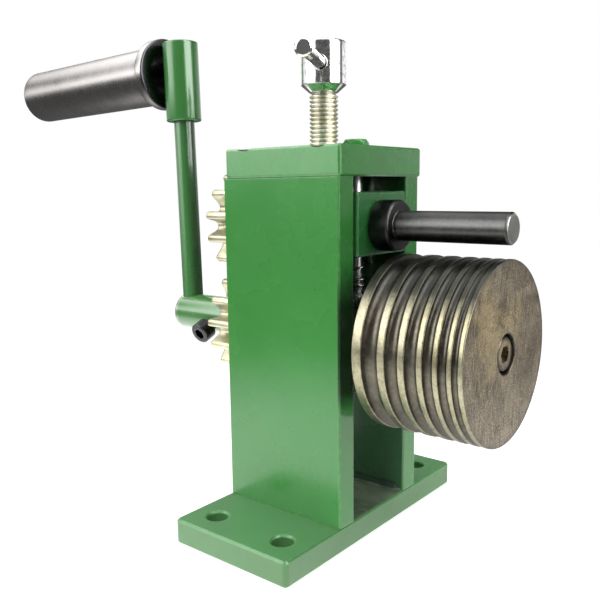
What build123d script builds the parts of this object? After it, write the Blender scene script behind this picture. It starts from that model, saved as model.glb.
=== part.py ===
from build123d import *
import math
import os

# Ring roller. Millimetres, +Z up, +Y towards the crank, origin under the middle of the foot.

# Foot and side plates
BASE_LENGTH = 125.0
BASE_WIDTH = 60.0
BASE_THICK = 10.5
BASE_EDGE = 0.8
BASE_CORNER = 2.0
HOLE_FROM_END = 12.5
HOLE_FROM_SIDE = 12.25
HOLE_RADIUS = 4.5
HOLE_CHAMFER = 0.7
FRAME_WIDTH = 58.0
PLATE_THICK = 10.0
PLATE_TOP = 149.4
PLATE_EDGE = 0.6
BEAD_LEG = 3.0
BEAD_INSET = 1.5
BEAD_FULLNESS = 0.62

# Cap plate and its four flush screws
CAP_OVERHANG = 0.5
CAP_SHORTFALL = 1.0
CAP_THICK = 12.0
CAP_CENTRE_Y = -1.4
CAP_EDGE = 0.8
CAP_SCREW_FROM_END = 11.0
CAP_SCREW_RADIUS = 3.0
CAP_SCREW_LENGTH = 24.0
CAP_HEAD_RADIUS = 6.0
CAP_HEAD_SINK = 0.4
CAP_SOCKET = 4.0
CAP_SOCKET_DEPTH = 2.2

# Shaft heights and fits
LOWER_AXIS_Z = 84.0
UPPER_AXIS_Z = 130.0
RUNNING_FIT = 0.03
LOOSE_FIT = 0.5
BODY_GAP = 0.3

# Lower block and bushes
LOWER_BLOCK_BOTTOM = 64.0
LOWER_BLOCK_TOP = 102.0
LOWER_JOURNAL_RADIUS = 8.0
LOWER_BUSH_RADIUS = 10.5
BUSH_LENGTH = 18.0

# Press block, its bushes and the screw's seat
PRESS_GAP_LEFT = 2.3
PRESS_GAP_RIGHT = 0.3
PRESS_BOTTOM = 118.2
PRESS_TOP = 143.5
PRESS_SHORTFALL = 1.5
PRESS_EDGE = 0.6
UPPER_JOURNAL_RADIUS = 7.0
UPPER_BUSH_RADIUS = 9.0
SEAT_RADIUS = 7.0
SEAT_DEPTH = 3.0
SEAT_STAND = 0.8

# Guide bolt, spring stud and return springs
BOLT_FROM_EDGE = 4.7
BOLT_Y = -7.9
BOLT_RADIUS = 3.0
BOLT_END_Z = 89.0
BOLT_HEAD_HEIGHT = 4.2
BOLT_ACROSS_FLATS = 10.0
BOLT_CROWN_BOTTOM = 7.4
BOLT_CROWN_TOP = 4.6
BOLT_HEAD_TURN = 12.0
STUD_FROM_PLATE = 7.0
STUD_Y = 9.0
STUD_END_Z = 95.0
STUD_TOP = 108.0
STUD_POINT = 0.8
SPRING_WIRE = 1.0
SPRING_RADIUS = 3.95
SPRING_PITCH = 3.6
SPRING_QUARTERS = 14
SPRING_LEAD = 1.2
SPRING_BEND = 50.0

# Press shaft with its pin and flange
PIN_RADIUS = 6.0
PIN_LENGTH = 46.8
PIN_CHAMFER = 0.8
FLANGE_RADIUS = 10.25
FLANGE_THICK = 8.5
FLANGE_GAP = 0.7
FLANGE_CHAMFER = 0.6
UPPER_SEAT_RADIUS = 6.0

# Gears
TOOTH_COUNT = 14
TIP_RADIUS = 24.5
ROOT_RADIUS = 17.0
TOOTH_FORM = [(18.5, 2.2), (20.0, 2.05), (21.5, 1.95), (23.0, 1.75), (24.0, 1.4), (TIP_RADIUS, 0.8)]
ROOT_HALF_WIDTH = 3.0
GEAR_EDGE = 0.5
GEAR_WIDTH = 15.0
UPPER_GEAR_GAP = 1.5
LOWER_GEAR_GAP = 2.5
UPPER_TOOTH_ANGLE = -86.5
KEY_WIDTH = 4.0
KEY_HEIGHT = 4.0
KEY_LENGTH = 12.0
WASHER_RADIUS = 9.0
WASHER_THICK = 1.6
GEAR_BOLT_RADIUS = 3.0
GEAR_BOLT_LENGTH = 14.0

# Drive shaft, spacers and roller
SHAFT_END_GAP = 0.5
HUB_SEAT_LENGTH = 30.5
LOWER_SEAT_RADIUS = 7.0
HUB_SEAT_RADIUS = 6.0
ROLLER_RADIUS = 35.0
ROLLER_GAP = 9.8
RIDGES = [4.0, 3.0, 2.65, 2.2, 1.95, 1.7, 1.85]
GROOVES = [7.0, 5.5, 5.0, 4.0, 3.5, 2.5]
ROLLER_EDGE = 0.5
WEB_THICK = 6.5
COUNTERBORE_RADIUS = 7.7
SCREW_RADIUS = 4.0
SCREW_HEAD_RADIUS = 6.5
SCREW_HEAD_HEIGHT = 8.0
SCREW_SINK = 0.6
SCREW_LENGTH = 22.0
SCREW_SOCKET = 6.0
SOCKET_DEPTH = 4.0
HEAD_EDGE = 0.5
ROLLER_KEY_WIDTH = 5.0
ROLLER_KEY_LENGTH = 22.0
FRONT_SPACER_RADIUS = 12.0
REAR_SPACER_RADIUS = 11.0

# Crank; the middle of a quarter round lies this share of its radius inside both edges
ROUND_MIDDLE = 0.293
HUB_RADIUS = 9.0
HUB_LENGTH = 40.5
HUB_ROUND = 2.0
ARM_FROM_END = 5.5
ARM_RADIUS = 5.0
ARM_LEAN = 1.5
HEAD_RADIUS = 8.5
HEAD_BOTTOM = 94.3
HEAD_TOP = 131.7
HEAD_CHAMFER = 0.7
HUB_SCREW_FROM_GEAR = 14.6
HUB_SCREW_ANGLE = 24.0
HUB_SCREW_RADIUS = 3.0
HUB_SCREW_HEAD_RADIUS = 5.0
HUB_SCREW_HEAD_OUT = 17.4
HUB_SCREW_HEAD_HEIGHT = 6.0
HUB_SCREW_SOCKET = 5.0
HUB_SOCKET_DEPTH = 3.0
HUB_SCREW_TIP = 5.5

# Grip, measured along its own axis from the middle of the crank head
GRIP_ARM = 118.0
GRIP_DROOP = 0.94
GRIP_NEAR = 10.1
GRIP_FAR = 120.2
GRIP_RADIUS = 14.0
GRIP_FLANGE_RADIUS = 17.0
GRIP_FLANGE_THICK = 5.0
GRIP_EDGE = 1.0
GRIP_COVE = 2.5
GRIP_ROUND = 2.2
GRIP_BOLT_RADIUS = 4.0
GRIP_BOLT_START = -7.0
GRIP_POCKET_RADIUS = 7.5
GRIP_POCKET_DEPTH = 10.0

# Pressure screw and cross bar
THREAD_RADIUS = 6.0
THREAD_DEPTH = 0.95
THREAD_PITCH = 1.75
THREAD_CREST = 0.35
THREAD_TOP = 183.5
THREAD_FIT = 0.08
DOG_RADIUS = 4.5
DOG_LENGTH = 3.0
TAPER_BOTTOM = 184.3
TAPER_TOP = 187.3
SCREW_HEAD_TOP = 204.6
KNOB_RADIUS = 9.5
KNOB_CHAMFER = 0.5
BAR_Z = 195.3
BAR_ANGLE = 27.3
BAR_RADIUS = 2.6
BAR_HOLE_RADIUS = 3.0
BAR_END_RADIUS = 3.4
BAR_END_LENGTH = 2.6
BAR_END_EDGE = 0.6
BAR_NEAR = -42.4
BAR_LENGTH = 60.0

PLATE_OUT = FRAME_WIDTH / 2
PLATE_IN = PLATE_OUT - PLATE_THICK
HALF_WIDTH = BASE_WIDTH / 2
CAP_TOP = PLATE_TOP + CAP_THICK
HOLE_X = BASE_LENGTH / 2 - HOLE_FROM_END
HOLE_Y = HALF_WIDTH - HOLE_FROM_SIDE
CAP_WIDTH = FRAME_WIDTH + 2 * CAP_OVERHANG
CAP_DEPTH = BASE_WIDTH - CAP_SHORTFALL
CAP_SCREW_Y = HALF_WIDTH - CAP_SCREW_FROM_END
PRESS_LEFT = PRESS_GAP_LEFT - PLATE_IN
PRESS_RIGHT = PLATE_IN - PRESS_GAP_RIGHT
PRESS_BACK = HALF_WIDTH - PRESS_SHORTFALL
BOLT_X = PRESS_RIGHT - BOLT_FROM_EDGE
STUD_X = STUD_FROM_PLATE - PLATE_IN
FLANGE_BACK_Y = -HALF_WIDTH - FLANGE_GAP
FLANGE_FRONT_Y = FLANGE_BACK_Y - FLANGE_THICK
PIN_END_Y = FLANGE_FRONT_Y - PIN_LENGTH
UPPER_GEAR_FRONT = HALF_WIDTH + UPPER_GEAR_GAP
UPPER_GEAR_BACK = UPPER_GEAR_FRONT + GEAR_WIDTH
LOWER_GEAR_FRONT = HALF_WIDTH + LOWER_GEAR_GAP
LOWER_GEAR_BACK = LOWER_GEAR_FRONT + GEAR_WIDTH
DRIVE_BACK_Y = LOWER_GEAR_BACK + HUB_SEAT_LENGTH
HUB_END_Y = LOWER_GEAR_BACK + HUB_LENGTH
HUB_SCREW_Y = LOWER_GEAR_BACK + HUB_SCREW_FROM_GEAR
ARM_Y = HUB_END_Y - ARM_FROM_END
ROLLER_BACK_Y = -HALF_WIDTH - ROLLER_GAP
ROLLER_FRONT_Y = ROLLER_BACK_Y - sum(RIDGES) - sum(GROOVES)
ROLLER_FLOOR_Y = ROLLER_FRONT_Y + SCREW_SINK + SCREW_HEAD_HEIGHT
ROLLER_SCREW_TIP_Y = ROLLER_FLOOR_Y + SCREW_LENGTH
DRIVE_FRONT_Y = ROLLER_FLOOR_Y + WEB_THICK + SHAFT_END_GAP
SEAT_TOP = PRESS_TOP + SEAT_STAND
THREAD_TURNS = int((THREAD_TOP - SEAT_TOP - DOG_LENGTH) / THREAD_PITCH)
LOWER_TOOTH_ANGLE = 180 / TOOTH_COUNT - UPPER_TOOTH_ANGLE
CAP_SCREW_X = PLATE_OUT - PLATE_THICK / 2


def block(x_low, x_high, y_low, y_high, z_low, z_high):
    """Box between two corners."""
    middle = ((x_low + x_high) / 2, (y_low + y_high) / 2, (z_low + z_high) / 2)
    return Pos(*middle) * Box(x_high - x_low, y_high - y_low, z_high - z_low)


def rod_z(radius, low, high, x=0.0, y=0.0):
    """Upright cylinder between two heights."""
    return Pos(x, y, (low + high) / 2) * Cylinder(radius, high - low)


def rod_y(radius, low, high, z=0.0, x=0.0):
    """Cylinder along Y between two stations."""
    return Pos(x, (low + high) / 2, z) * Rot(90, 0, 0) * Cylinder(radius, high - low)


def turned(points):
    """Solid of revolution about Z from (radius, height) corners."""
    outline = Polyline(*[(radius, 0, height) for radius, height in points], close=True)
    return revolve(make_face(outline), Axis.Z)


def turned_y(points, z):
    """Solid of revolution about a line along Y from (radius, station) corners."""
    return Pos(0, 0, z) * Rot(-90, 0, 0) * turned(points)


def hexagon(across_flats, height):
    """Hexagonal bar standing on the ground plane."""
    return extrude(RegularPolygon(across_flats / 2, 6, major_radius=False), height)


def save(node, shape):
    """Write one named node."""
    export_step(shape, "parts/" + node + ".step")


def base_plate():
    """Foot with four chamfered bolt holes and softened edges."""
    plate = Pos(0, 0, BASE_THICK / 2) * Box(BASE_LENGTH, BASE_WIDTH, BASE_THICK)
    plate = fillet(plate.edges().filter_by(Axis.Z), BASE_CORNER)
    plate = chamfer(plate.faces().sort_by(Axis.Z)[-1].edges(), BASE_EDGE)
    plate = chamfer(plate.faces().sort_by(Axis.Z)[0].edges(), BASE_EDGE)
    profile = [
        (0, -1),
        (HOLE_RADIUS, -1),
        (HOLE_RADIUS, BASE_THICK - HOLE_CHAMFER),
        (HOLE_RADIUS + HOLE_CHAMFER, BASE_THICK),
        (HOLE_RADIUS + HOLE_CHAMFER, BASE_THICK + 1),
        (0, BASE_THICK + 1),
    ]
    drill = turned(profile)
    for x in (-HOLE_X, HOLE_X):
        for y in (-HOLE_Y, HOLE_Y):
            plate -= Pos(x, y, 0) * drill
    return plate


def side_plate(side):
    """Upright plate; side is -1 for left and 1 for right."""
    low, high = sorted((side * PLATE_IN, side * PLATE_OUT))
    plate = block(low, high, -HALF_WIDTH, HALF_WIDTH, BASE_THICK, PLATE_TOP)
    plate = chamfer(plate.edges().filter_by(Axis.Z), PLATE_EDGE)
    for y in (-CAP_SCREW_Y, CAP_SCREW_Y):
        bottom = CAP_TOP - CAP_SCREW_LENGTH
        plate -= rod_z(CAP_SCREW_RADIUS, bottom, PLATE_TOP + 1, side * CAP_SCREW_X, CAP_CENTRE_Y + y)
    return plate


def weld_bead(side, corner_z, direction):
    """Bead in the corner between a side plate and a level face; direction is the way it rises."""
    x = side * PLATE_IN
    corners = [(x, corner_z), (x - side * BEAD_LEG, corner_z), (x, corner_z + direction * BEAD_LEG)]
    middle = (x - side * BEAD_LEG * BEAD_FULLNESS, corner_z + direction * BEAD_LEG * BEAD_FULLNESS)
    outline = Line((corners[0][0], 0, corners[0][1]), (corners[1][0], 0, corners[1][1]))
    crown = ThreePointArc(
        (corners[1][0], 0, corners[1][1]),
        (middle[0], 0, middle[1]),
        (corners[2][0], 0, corners[2][1]),
    )
    back = Line((corners[2][0], 0, corners[2][1]), (corners[0][0], 0, corners[0][1]))
    face = make_face(outline + crown + back)
    length = BASE_WIDTH - 2 * BEAD_INSET
    bead = extrude(face, length, dir=(0, 1, 0))
    return Pos(0, -HALF_WIDTH + BEAD_INSET, 0) * bead


def weld_beads():
    """Four beads: two on the foot and two below the lower block."""
    beads = []
    for side in (-1, 1):
        beads.append(weld_bead(side, BASE_THICK, 1))
        beads.append(weld_bead(side, LOWER_BLOCK_BOTTOM, -1))
    return Compound(beads)


def cap_plate():
    """Top plate, tapped for the pressure screw and drilled for its fasteners."""
    plate = Pos(0, CAP_CENTRE_Y, PLATE_TOP + CAP_THICK / 2) * Box(CAP_WIDTH, CAP_DEPTH, CAP_THICK)
    plate = chamfer(plate.edges(), CAP_EDGE)
    plate -= rod_z(THREAD_RADIUS + THREAD_FIT, PLATE_TOP - 1, CAP_TOP + 1, 0, CAP_CENTRE_Y)
    plate -= rod_z(BOLT_RADIUS, PLATE_TOP - 1, CAP_TOP + 1, BOLT_X, BOLT_Y)
    for x in (-CAP_SCREW_X, CAP_SCREW_X):
        for y in (-CAP_SCREW_Y, CAP_SCREW_Y):
            plate -= Pos(x, CAP_CENTRE_Y + y, CAP_TOP) * countersunk_body(0)
            plate -= rod_z(CAP_HEAD_RADIUS, CAP_TOP - CAP_HEAD_SINK, CAP_TOP + 1, x, CAP_CENTRE_Y + y)
    return plate


def countersunk_body(socket_depth):
    """Countersunk screw below the ground plane, with an optional hexagon socket."""
    cone = CAP_HEAD_RADIUS - CAP_SCREW_RADIUS
    profile = [
        (0, -CAP_SCREW_LENGTH),
        (CAP_SCREW_RADIUS, -CAP_SCREW_LENGTH),
        (CAP_SCREW_RADIUS, -CAP_HEAD_SINK - cone),
        (CAP_HEAD_RADIUS, -CAP_HEAD_SINK),
        (0, -CAP_HEAD_SINK),
    ]
    screw = turned(profile)
    if socket_depth > 0:
        screw -= Pos(0, 0, -CAP_HEAD_SINK - socket_depth) * hexagon(CAP_SOCKET, socket_depth + 1)
    return screw


def cap_screws():
    """Four flush countersunk screws."""
    screws = []
    for x in (-CAP_SCREW_X, CAP_SCREW_X):
        for y in (-CAP_SCREW_Y, CAP_SCREW_Y):
            screws.append(Pos(x, CAP_CENTRE_Y + y, CAP_TOP) * countersunk_body(CAP_SOCKET_DEPTH))
    return Compound(screws)


def lower_block():
    """Block between the side plates that carries the drive shaft."""
    body = block(-PLATE_IN, PLATE_IN, -HALF_WIDTH, HALF_WIDTH, LOWER_BLOCK_BOTTOM, LOWER_BLOCK_TOP)
    body = chamfer(body.edges().filter_by(Axis.X), PLATE_EDGE)
    body -= rod_y(LOWER_BUSH_RADIUS, -HALF_WIDTH - 1, HALF_WIDTH + 1, LOWER_AXIS_Z)
    body -= rod_z(BOLT_RADIUS, BOLT_END_Z, LOWER_BLOCK_TOP + 1, BOLT_X, BOLT_Y)
    body -= rod_z(BOLT_RADIUS, STUD_END_Z, LOWER_BLOCK_TOP + 1, STUD_X, STUD_Y)
    return body


def bush_pair(radius, bore, front, back, z):
    """Two plain bushes pressed in from both ends of a block."""
    pair = []
    for low, high in ((front, front + BUSH_LENGTH), (back - BUSH_LENGTH, back)):
        tube = rod_y(radius, low, high, z) - rod_y(bore, low - 1, high + 1, z)
        pair.append(tube)
    return Compound(pair)


def guide_bolt():
    """Long hexagon-head bolt down through the cap and the press block."""
    bolt = rod_z(BOLT_RADIUS, BOLT_END_Z, CAP_TOP, BOLT_X, BOLT_Y)
    crown = hexagon(BOLT_ACROSS_FLATS, BOLT_HEAD_HEIGHT)
    dome = Cone(BOLT_CROWN_BOTTOM, BOLT_CROWN_TOP, BOLT_HEAD_HEIGHT)
    crown = crown & (Pos(0, 0, BOLT_HEAD_HEIGHT / 2) * dome)
    return bolt + Pos(BOLT_X, BOLT_Y, CAP_TOP) * Rot(0, 0, BOLT_HEAD_TURN) * crown


def spring_stud():
    """Short stud in the lower block that centres the second spring."""
    profile = [
        (0, STUD_END_Z),
        (BOLT_RADIUS, STUD_END_Z),
        (BOLT_RADIUS, STUD_TOP - STUD_POINT),
        (BOLT_RADIUS - STUD_POINT, STUD_TOP),
        (0, STUD_TOP),
    ]
    return Pos(STUD_X, STUD_Y, 0) * turned(profile)


def helix_point(angle, low):
    """Point of the spring's centre line after the given angle in radians."""
    height = low + SPRING_PITCH * angle / (2 * math.pi)
    return Vector(SPRING_RADIUS * math.cos(angle), SPRING_RADIUS * math.sin(angle), height)


def helix_direction(angle):
    """Unit direction of the spring's centre line at the given angle."""
    rise = SPRING_PITCH / (2 * math.pi)
    return Vector(-SPRING_RADIUS * math.sin(angle), SPRING_RADIUS * math.cos(angle), rise).normalized()


def biarc(start, start_direction, end, end_direction):
    """Two arcs that leave start and reach end along the given directions."""
    chord = end - start
    turn = start_direction + end_direction
    spread = 2 * (1 - start_direction.dot(end_direction))
    along = chord.dot(turn)
    reach = (math.sqrt(along * along + spread * chord.dot(chord)) - along) / spread
    joint = (start + end + (start_direction - end_direction) * reach) * 0.5
    joint_direction = (joint - start - start_direction * reach).normalized()
    return [
        Edge.make_tangent_arc(start, start_direction, joint),
        Edge.make_tangent_arc(joint, joint_direction, end),
    ]


def spring_path():
    """Centre line of a spring with upright ends, from the lower block to the press block."""
    up = Vector(0, 0, 1)
    quarter = math.pi / 2
    rise = SPRING_PITCH * SPRING_QUARTERS / 4
    low = (LOWER_BLOCK_TOP + PRESS_BOTTOM - rise) / 2
    total = SPRING_QUARTERS * quarter
    foot = Vector(SPRING_RADIUS, 0, LOWER_BLOCK_TOP).rotate(Axis.Z, -SPRING_BEND)
    crown = Vector(SPRING_RADIUS, 0, PRESS_BOTTOM).rotate(Axis.Z, math.degrees(total) + SPRING_BEND)
    foot_end = foot + up * SPRING_LEAD
    crown_start = crown - up * SPRING_LEAD
    path = [Edge.make_line(foot, foot_end)]
    path += biarc(foot_end, up, helix_point(0, low), helix_direction(0))
    for step in range(SPRING_QUARTERS):
        first = step * quarter
        second = first + quarter
        path += biarc(
            helix_point(first, low),
            helix_direction(first),
            helix_point(second, low),
            helix_direction(second),
        )
    path += biarc(helix_point(total, low), helix_direction(total), crown_start, up)
    path.append(Edge.make_line(crown_start, crown))
    return path


def least_gap(path):
    """Least gap from the wire to itself, measured on points more than a half turn apart."""
    points = []
    travelled = 0.0
    for edge in path:
        steps = max(2, int(edge.length / 0.4))
        for index in range(steps):
            share = index / steps
            points.append((travelled + share * edge.length, edge.position_at(share)))
        travelled += edge.length
    far_enough = math.pi * SPRING_RADIUS
    least = 1e9
    for place, (station, point) in enumerate(points):
        for other_station, other in points[place + 1:]:
            if other_station - station > far_enough:
                least = min(least, (other - point).length)
    return least - SPRING_WIRE


def return_springs():
    """Two springs that lift the press block when the screw is backed off."""
    path = spring_path()
    print("spring least gap mm", round(least_gap(path), 3))
    wire = Wire(path)
    section = Plane(origin=wire @ 0, z_dir=(0, 0, 1)) * Circle(SPRING_WIRE / 2)
    spring = sweep(section, path=wire)
    return Compound([Pos(BOLT_X, BOLT_Y, 0) * spring, Pos(STUD_X, STUD_Y, 0) * spring])


def press_block():
    """Sliding block with the upper shaft's bore, the guide hole and the seat pocket."""
    body = block(PRESS_LEFT, PRESS_RIGHT, -HALF_WIDTH, PRESS_BACK, PRESS_BOTTOM, PRESS_TOP)
    body = chamfer(body.edges(), PRESS_EDGE)
    body -= rod_y(UPPER_BUSH_RADIUS, -HALF_WIDTH - 1, PRESS_BACK + 1, UPPER_AXIS_Z)
    body -= rod_z(BOLT_RADIUS + LOOSE_FIT, PRESS_BOTTOM - 1, PRESS_TOP + 1, BOLT_X, BOLT_Y)
    body -= rod_z(SEAT_RADIUS, PRESS_TOP - SEAT_DEPTH, PRESS_TOP + 1, 0, CAP_CENTRE_Y)
    return body


def screw_seat():
    """Hard pad that the pressure screw bears on."""
    return rod_z(SEAT_RADIUS, PRESS_TOP - SEAT_DEPTH, SEAT_TOP, 0, CAP_CENTRE_Y)


def press_shaft():
    """Pin, flange and journal turned in one piece, tapped at the gear end."""
    shoulder = UPPER_GEAR_FRONT
    end = UPPER_GEAR_BACK - SHAFT_END_GAP
    profile = [
        (0, PIN_END_Y),
        (PIN_RADIUS - PIN_CHAMFER, PIN_END_Y),
        (PIN_RADIUS, PIN_END_Y + PIN_CHAMFER),
        (PIN_RADIUS, FLANGE_FRONT_Y),
        (FLANGE_RADIUS - FLANGE_CHAMFER, FLANGE_FRONT_Y),
        (FLANGE_RADIUS, FLANGE_FRONT_Y + FLANGE_CHAMFER),
        (FLANGE_RADIUS, FLANGE_BACK_Y),
        (UPPER_JOURNAL_RADIUS, FLANGE_BACK_Y),
        (UPPER_JOURNAL_RADIUS, shoulder),
        (UPPER_SEAT_RADIUS, shoulder),
        (UPPER_SEAT_RADIUS, end),
        (0, end),
    ]
    shaft = turned_y(profile, UPPER_AXIS_Z)
    shaft -= key_block(UPPER_SEAT_RADIUS, UPPER_GEAR_FRONT, UPPER_AXIS_Z, UPPER_TOOTH_ANGLE)
    bolt_tip = UPPER_GEAR_BACK + WASHER_THICK - GEAR_BOLT_LENGTH
    shaft -= rod_y(GEAR_BOLT_RADIUS, bolt_tip, end + 1, UPPER_AXIS_Z)
    return shaft


def gear_blank(bore):
    """Toothed wheel along Y with one tooth centred on the local +X direction."""
    corners = []
    step = 2 * math.pi / TOOTH_COUNT
    flank = [(ROOT_RADIUS, ROOT_HALF_WIDTH)] + TOOTH_FORM
    for tooth in range(TOOTH_COUNT):
        middle = tooth * step
        for radius, half in flank:
            angle = middle - math.asin(half / radius)
            corners.append((radius * math.cos(angle), radius * math.sin(angle)))
        for radius, half in reversed(flank):
            angle = middle + math.asin(half / radius)
            corners.append((radius * math.cos(angle), radius * math.sin(angle)))
    wheel = extrude(make_face(Polyline(*corners, close=True)), GEAR_WIDTH)
    slope = TIP_RADIUS - GEAR_EDGE
    rim = [
        (0, 0),
        (slope, 0),
        (TIP_RADIUS + 0.1, GEAR_EDGE),
        (TIP_RADIUS + 0.1, GEAR_WIDTH - GEAR_EDGE),
        (slope, GEAR_WIDTH),
        (0, GEAR_WIDTH),
    ]
    wheel = wheel & turned(rim)
    wheel -= rod_z(bore, -1, GEAR_WIDTH + 1)
    return wheel


def gear(bore, front, z, tooth_angle):
    """Gear with a keyway; tooth_angle is a tooth's direction from +X towards +Z in degrees."""
    wheel = Rot(-90, 0, 0) * gear_blank(bore)
    wheel = Pos(0, front, z) * Rot(0, -tooth_angle, 0) * wheel
    return wheel - key_block(bore, front, z, tooth_angle)


def key_block(bore, front, z, tooth_angle):
    """Parallel key half in the shaft and half in the wheel."""
    key = Pos(bore, KEY_LENGTH / 2, 0) * Box(KEY_HEIGHT, KEY_LENGTH, KEY_WIDTH)
    return Pos(0, front + 1, z) * Rot(0, -tooth_angle, 0) * key


def gear_washer():
    """Washer behind the upper gear."""
    low = UPPER_GEAR_BACK
    high = UPPER_GEAR_BACK + WASHER_THICK
    ring = rod_y(WASHER_RADIUS, low, high, UPPER_AXIS_Z)
    return ring - rod_y(GEAR_BOLT_RADIUS, low - 1, high + 1, UPPER_AXIS_Z)


def gear_bolt():
    """Hexagon-head bolt that holds the upper gear on its shaft."""
    seat = UPPER_GEAR_BACK + WASHER_THICK
    shank = rod_y(GEAR_BOLT_RADIUS, seat - GEAR_BOLT_LENGTH, seat, UPPER_AXIS_Z)
    crown = hexagon(BOLT_ACROSS_FLATS, BOLT_HEAD_HEIGHT)
    crown = Pos(0, seat, UPPER_AXIS_Z) * Rot(-90, 0, 0) * crown
    return shank + crown


def drive_shaft():
    """Stepped shaft through the lower block, from the roller to the crank hub."""
    profile = [
        (0, DRIVE_FRONT_Y),
        (LOWER_JOURNAL_RADIUS, DRIVE_FRONT_Y),
        (LOWER_JOURNAL_RADIUS, LOWER_GEAR_FRONT),
        (LOWER_SEAT_RADIUS, LOWER_GEAR_FRONT),
        (LOWER_SEAT_RADIUS, LOWER_GEAR_BACK),
        (HUB_SEAT_RADIUS, LOWER_GEAR_BACK),
        (HUB_SEAT_RADIUS, DRIVE_BACK_Y),
        (0, DRIVE_BACK_Y),
    ]
    shaft = turned_y(profile, LOWER_AXIS_Z)
    shaft -= rod_y(SCREW_RADIUS, DRIVE_FRONT_Y - 1, ROLLER_SCREW_TIP_Y, LOWER_AXIS_Z)
    shaft -= roller_key()
    shaft -= key_block(LOWER_SEAT_RADIUS, LOWER_GEAR_FRONT, LOWER_AXIS_Z, LOWER_TOOTH_ANGLE)
    shaft -= hub_screw_rod(HUB_SCREW_RADIUS, HUB_SCREW_TIP, HUB_SCREW_HEAD_OUT)
    return shaft


def ring_y(outer, bore, low, high):
    """Plain ring on the lower axis."""
    return rod_y(outer, low, high, LOWER_AXIS_Z) - rod_y(bore, low - 1, high + 1, LOWER_AXIS_Z)


def front_spacer():
    """Ring between the lower block and the roller."""
    return ring_y(FRONT_SPACER_RADIUS, LOWER_JOURNAL_RADIUS, ROLLER_BACK_Y, -HALF_WIDTH - BODY_GAP)


def rear_spacer():
    """Ring between the lower block and the lower gear."""
    return ring_y(REAR_SPACER_RADIUS, LOWER_JOURNAL_RADIUS, HALF_WIDTH + BODY_GAP, LOWER_GEAR_FRONT)


def grooved_roller():
    """Roller with half-round grooves that get narrower towards its free end."""
    web_back = ROLLER_FLOOR_Y + WEB_THICK
    profile = [
        (LOWER_JOURNAL_RADIUS, web_back),
        (LOWER_JOURNAL_RADIUS, ROLLER_BACK_Y),
        (ROLLER_RADIUS - ROLLER_EDGE, ROLLER_BACK_Y),
        (ROLLER_RADIUS, ROLLER_BACK_Y - ROLLER_EDGE),
        (ROLLER_RADIUS, ROLLER_FRONT_Y + ROLLER_EDGE),
        (ROLLER_RADIUS - ROLLER_EDGE, ROLLER_FRONT_Y),
        (COUNTERBORE_RADIUS + ROLLER_EDGE, ROLLER_FRONT_Y),
        (COUNTERBORE_RADIUS, ROLLER_FRONT_Y + ROLLER_EDGE),
        (COUNTERBORE_RADIUS, ROLLER_FLOOR_Y),
        (SCREW_RADIUS, ROLLER_FLOOR_Y),
        (SCREW_RADIUS, web_back),
    ]
    roller = turned_y(profile, LOWER_AXIS_Z)
    station = ROLLER_BACK_Y
    for ridge, groove in zip(RIDGES, GROOVES):
        station -= ridge + groove / 2
        roller -= Pos(0, station, LOWER_AXIS_Z) * Rot(90, 0, 0) * Torus(ROLLER_RADIUS, groove / 2)
        station -= groove / 2
    return roller - roller_key()


def roller_key():
    """Key between the drive shaft and the roller."""
    low = ROLLER_BACK_Y - 1 - ROLLER_KEY_LENGTH
    high = ROLLER_BACK_Y - 1
    half = ROLLER_KEY_WIDTH / 2
    middle = LOWER_AXIS_Z + LOWER_JOURNAL_RADIUS
    return block(-half, half, low, high, middle - half, middle + half)


def roller_screw():
    """Socket-head screw in the roller's end."""
    outer = ROLLER_FRONT_Y + SCREW_SINK
    seat = ROLLER_FLOOR_Y
    profile = [
        (0, outer),
        (SCREW_HEAD_RADIUS - HEAD_EDGE, outer),
        (SCREW_HEAD_RADIUS, outer + HEAD_EDGE),
        (SCREW_HEAD_RADIUS, seat),
        (SCREW_RADIUS, seat),
        (SCREW_RADIUS, ROLLER_SCREW_TIP_Y),
        (0, ROLLER_SCREW_TIP_Y),
    ]
    screw = turned_y(profile, LOWER_AXIS_Z)
    socket = Pos(0, outer - 1, LOWER_AXIS_Z) * Rot(-90, 0, 0) * hexagon(SCREW_SOCKET, SOCKET_DEPTH + 1)
    return screw - socket


def crank_hub():
    """Blind hub on the shaft's end, with a rounded back and a tapped cross hole."""
    profile = [
        (0, LOWER_GEAR_BACK),
        (HUB_RADIUS - HEAD_EDGE, LOWER_GEAR_BACK),
        (HUB_RADIUS, LOWER_GEAR_BACK + HEAD_EDGE),
        (HUB_RADIUS, HUB_END_Y - HUB_ROUND),
        (HUB_RADIUS - HUB_ROUND * ROUND_MIDDLE, HUB_END_Y - HUB_ROUND * ROUND_MIDDLE),
        (HUB_RADIUS - HUB_ROUND, HUB_END_Y),
        (0, HUB_END_Y),
    ]
    hub = turned_y(profile, LOWER_AXIS_Z)
    hub -= rod_y(HUB_SEAT_RADIUS, LOWER_GEAR_BACK - 1, DRIVE_BACK_Y + 1, LOWER_AXIS_Z)
    return hub - hub_screw_rod(HUB_SCREW_RADIUS, HUB_SCREW_TIP, HUB_SCREW_HEAD_OUT)


def hub_screw_place():
    """Frame at the hub axis whose +Z runs out along the hub screw."""
    return Pos(0, HUB_SCREW_Y, LOWER_AXIS_Z) * Rot(0, -90 - HUB_SCREW_ANGLE, 0)


def hub_screw_rod(radius, low, high):
    """Cylinder along the hub screw between two distances from the hub axis."""
    return hub_screw_place() * rod_z(radius, low, high)


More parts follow.
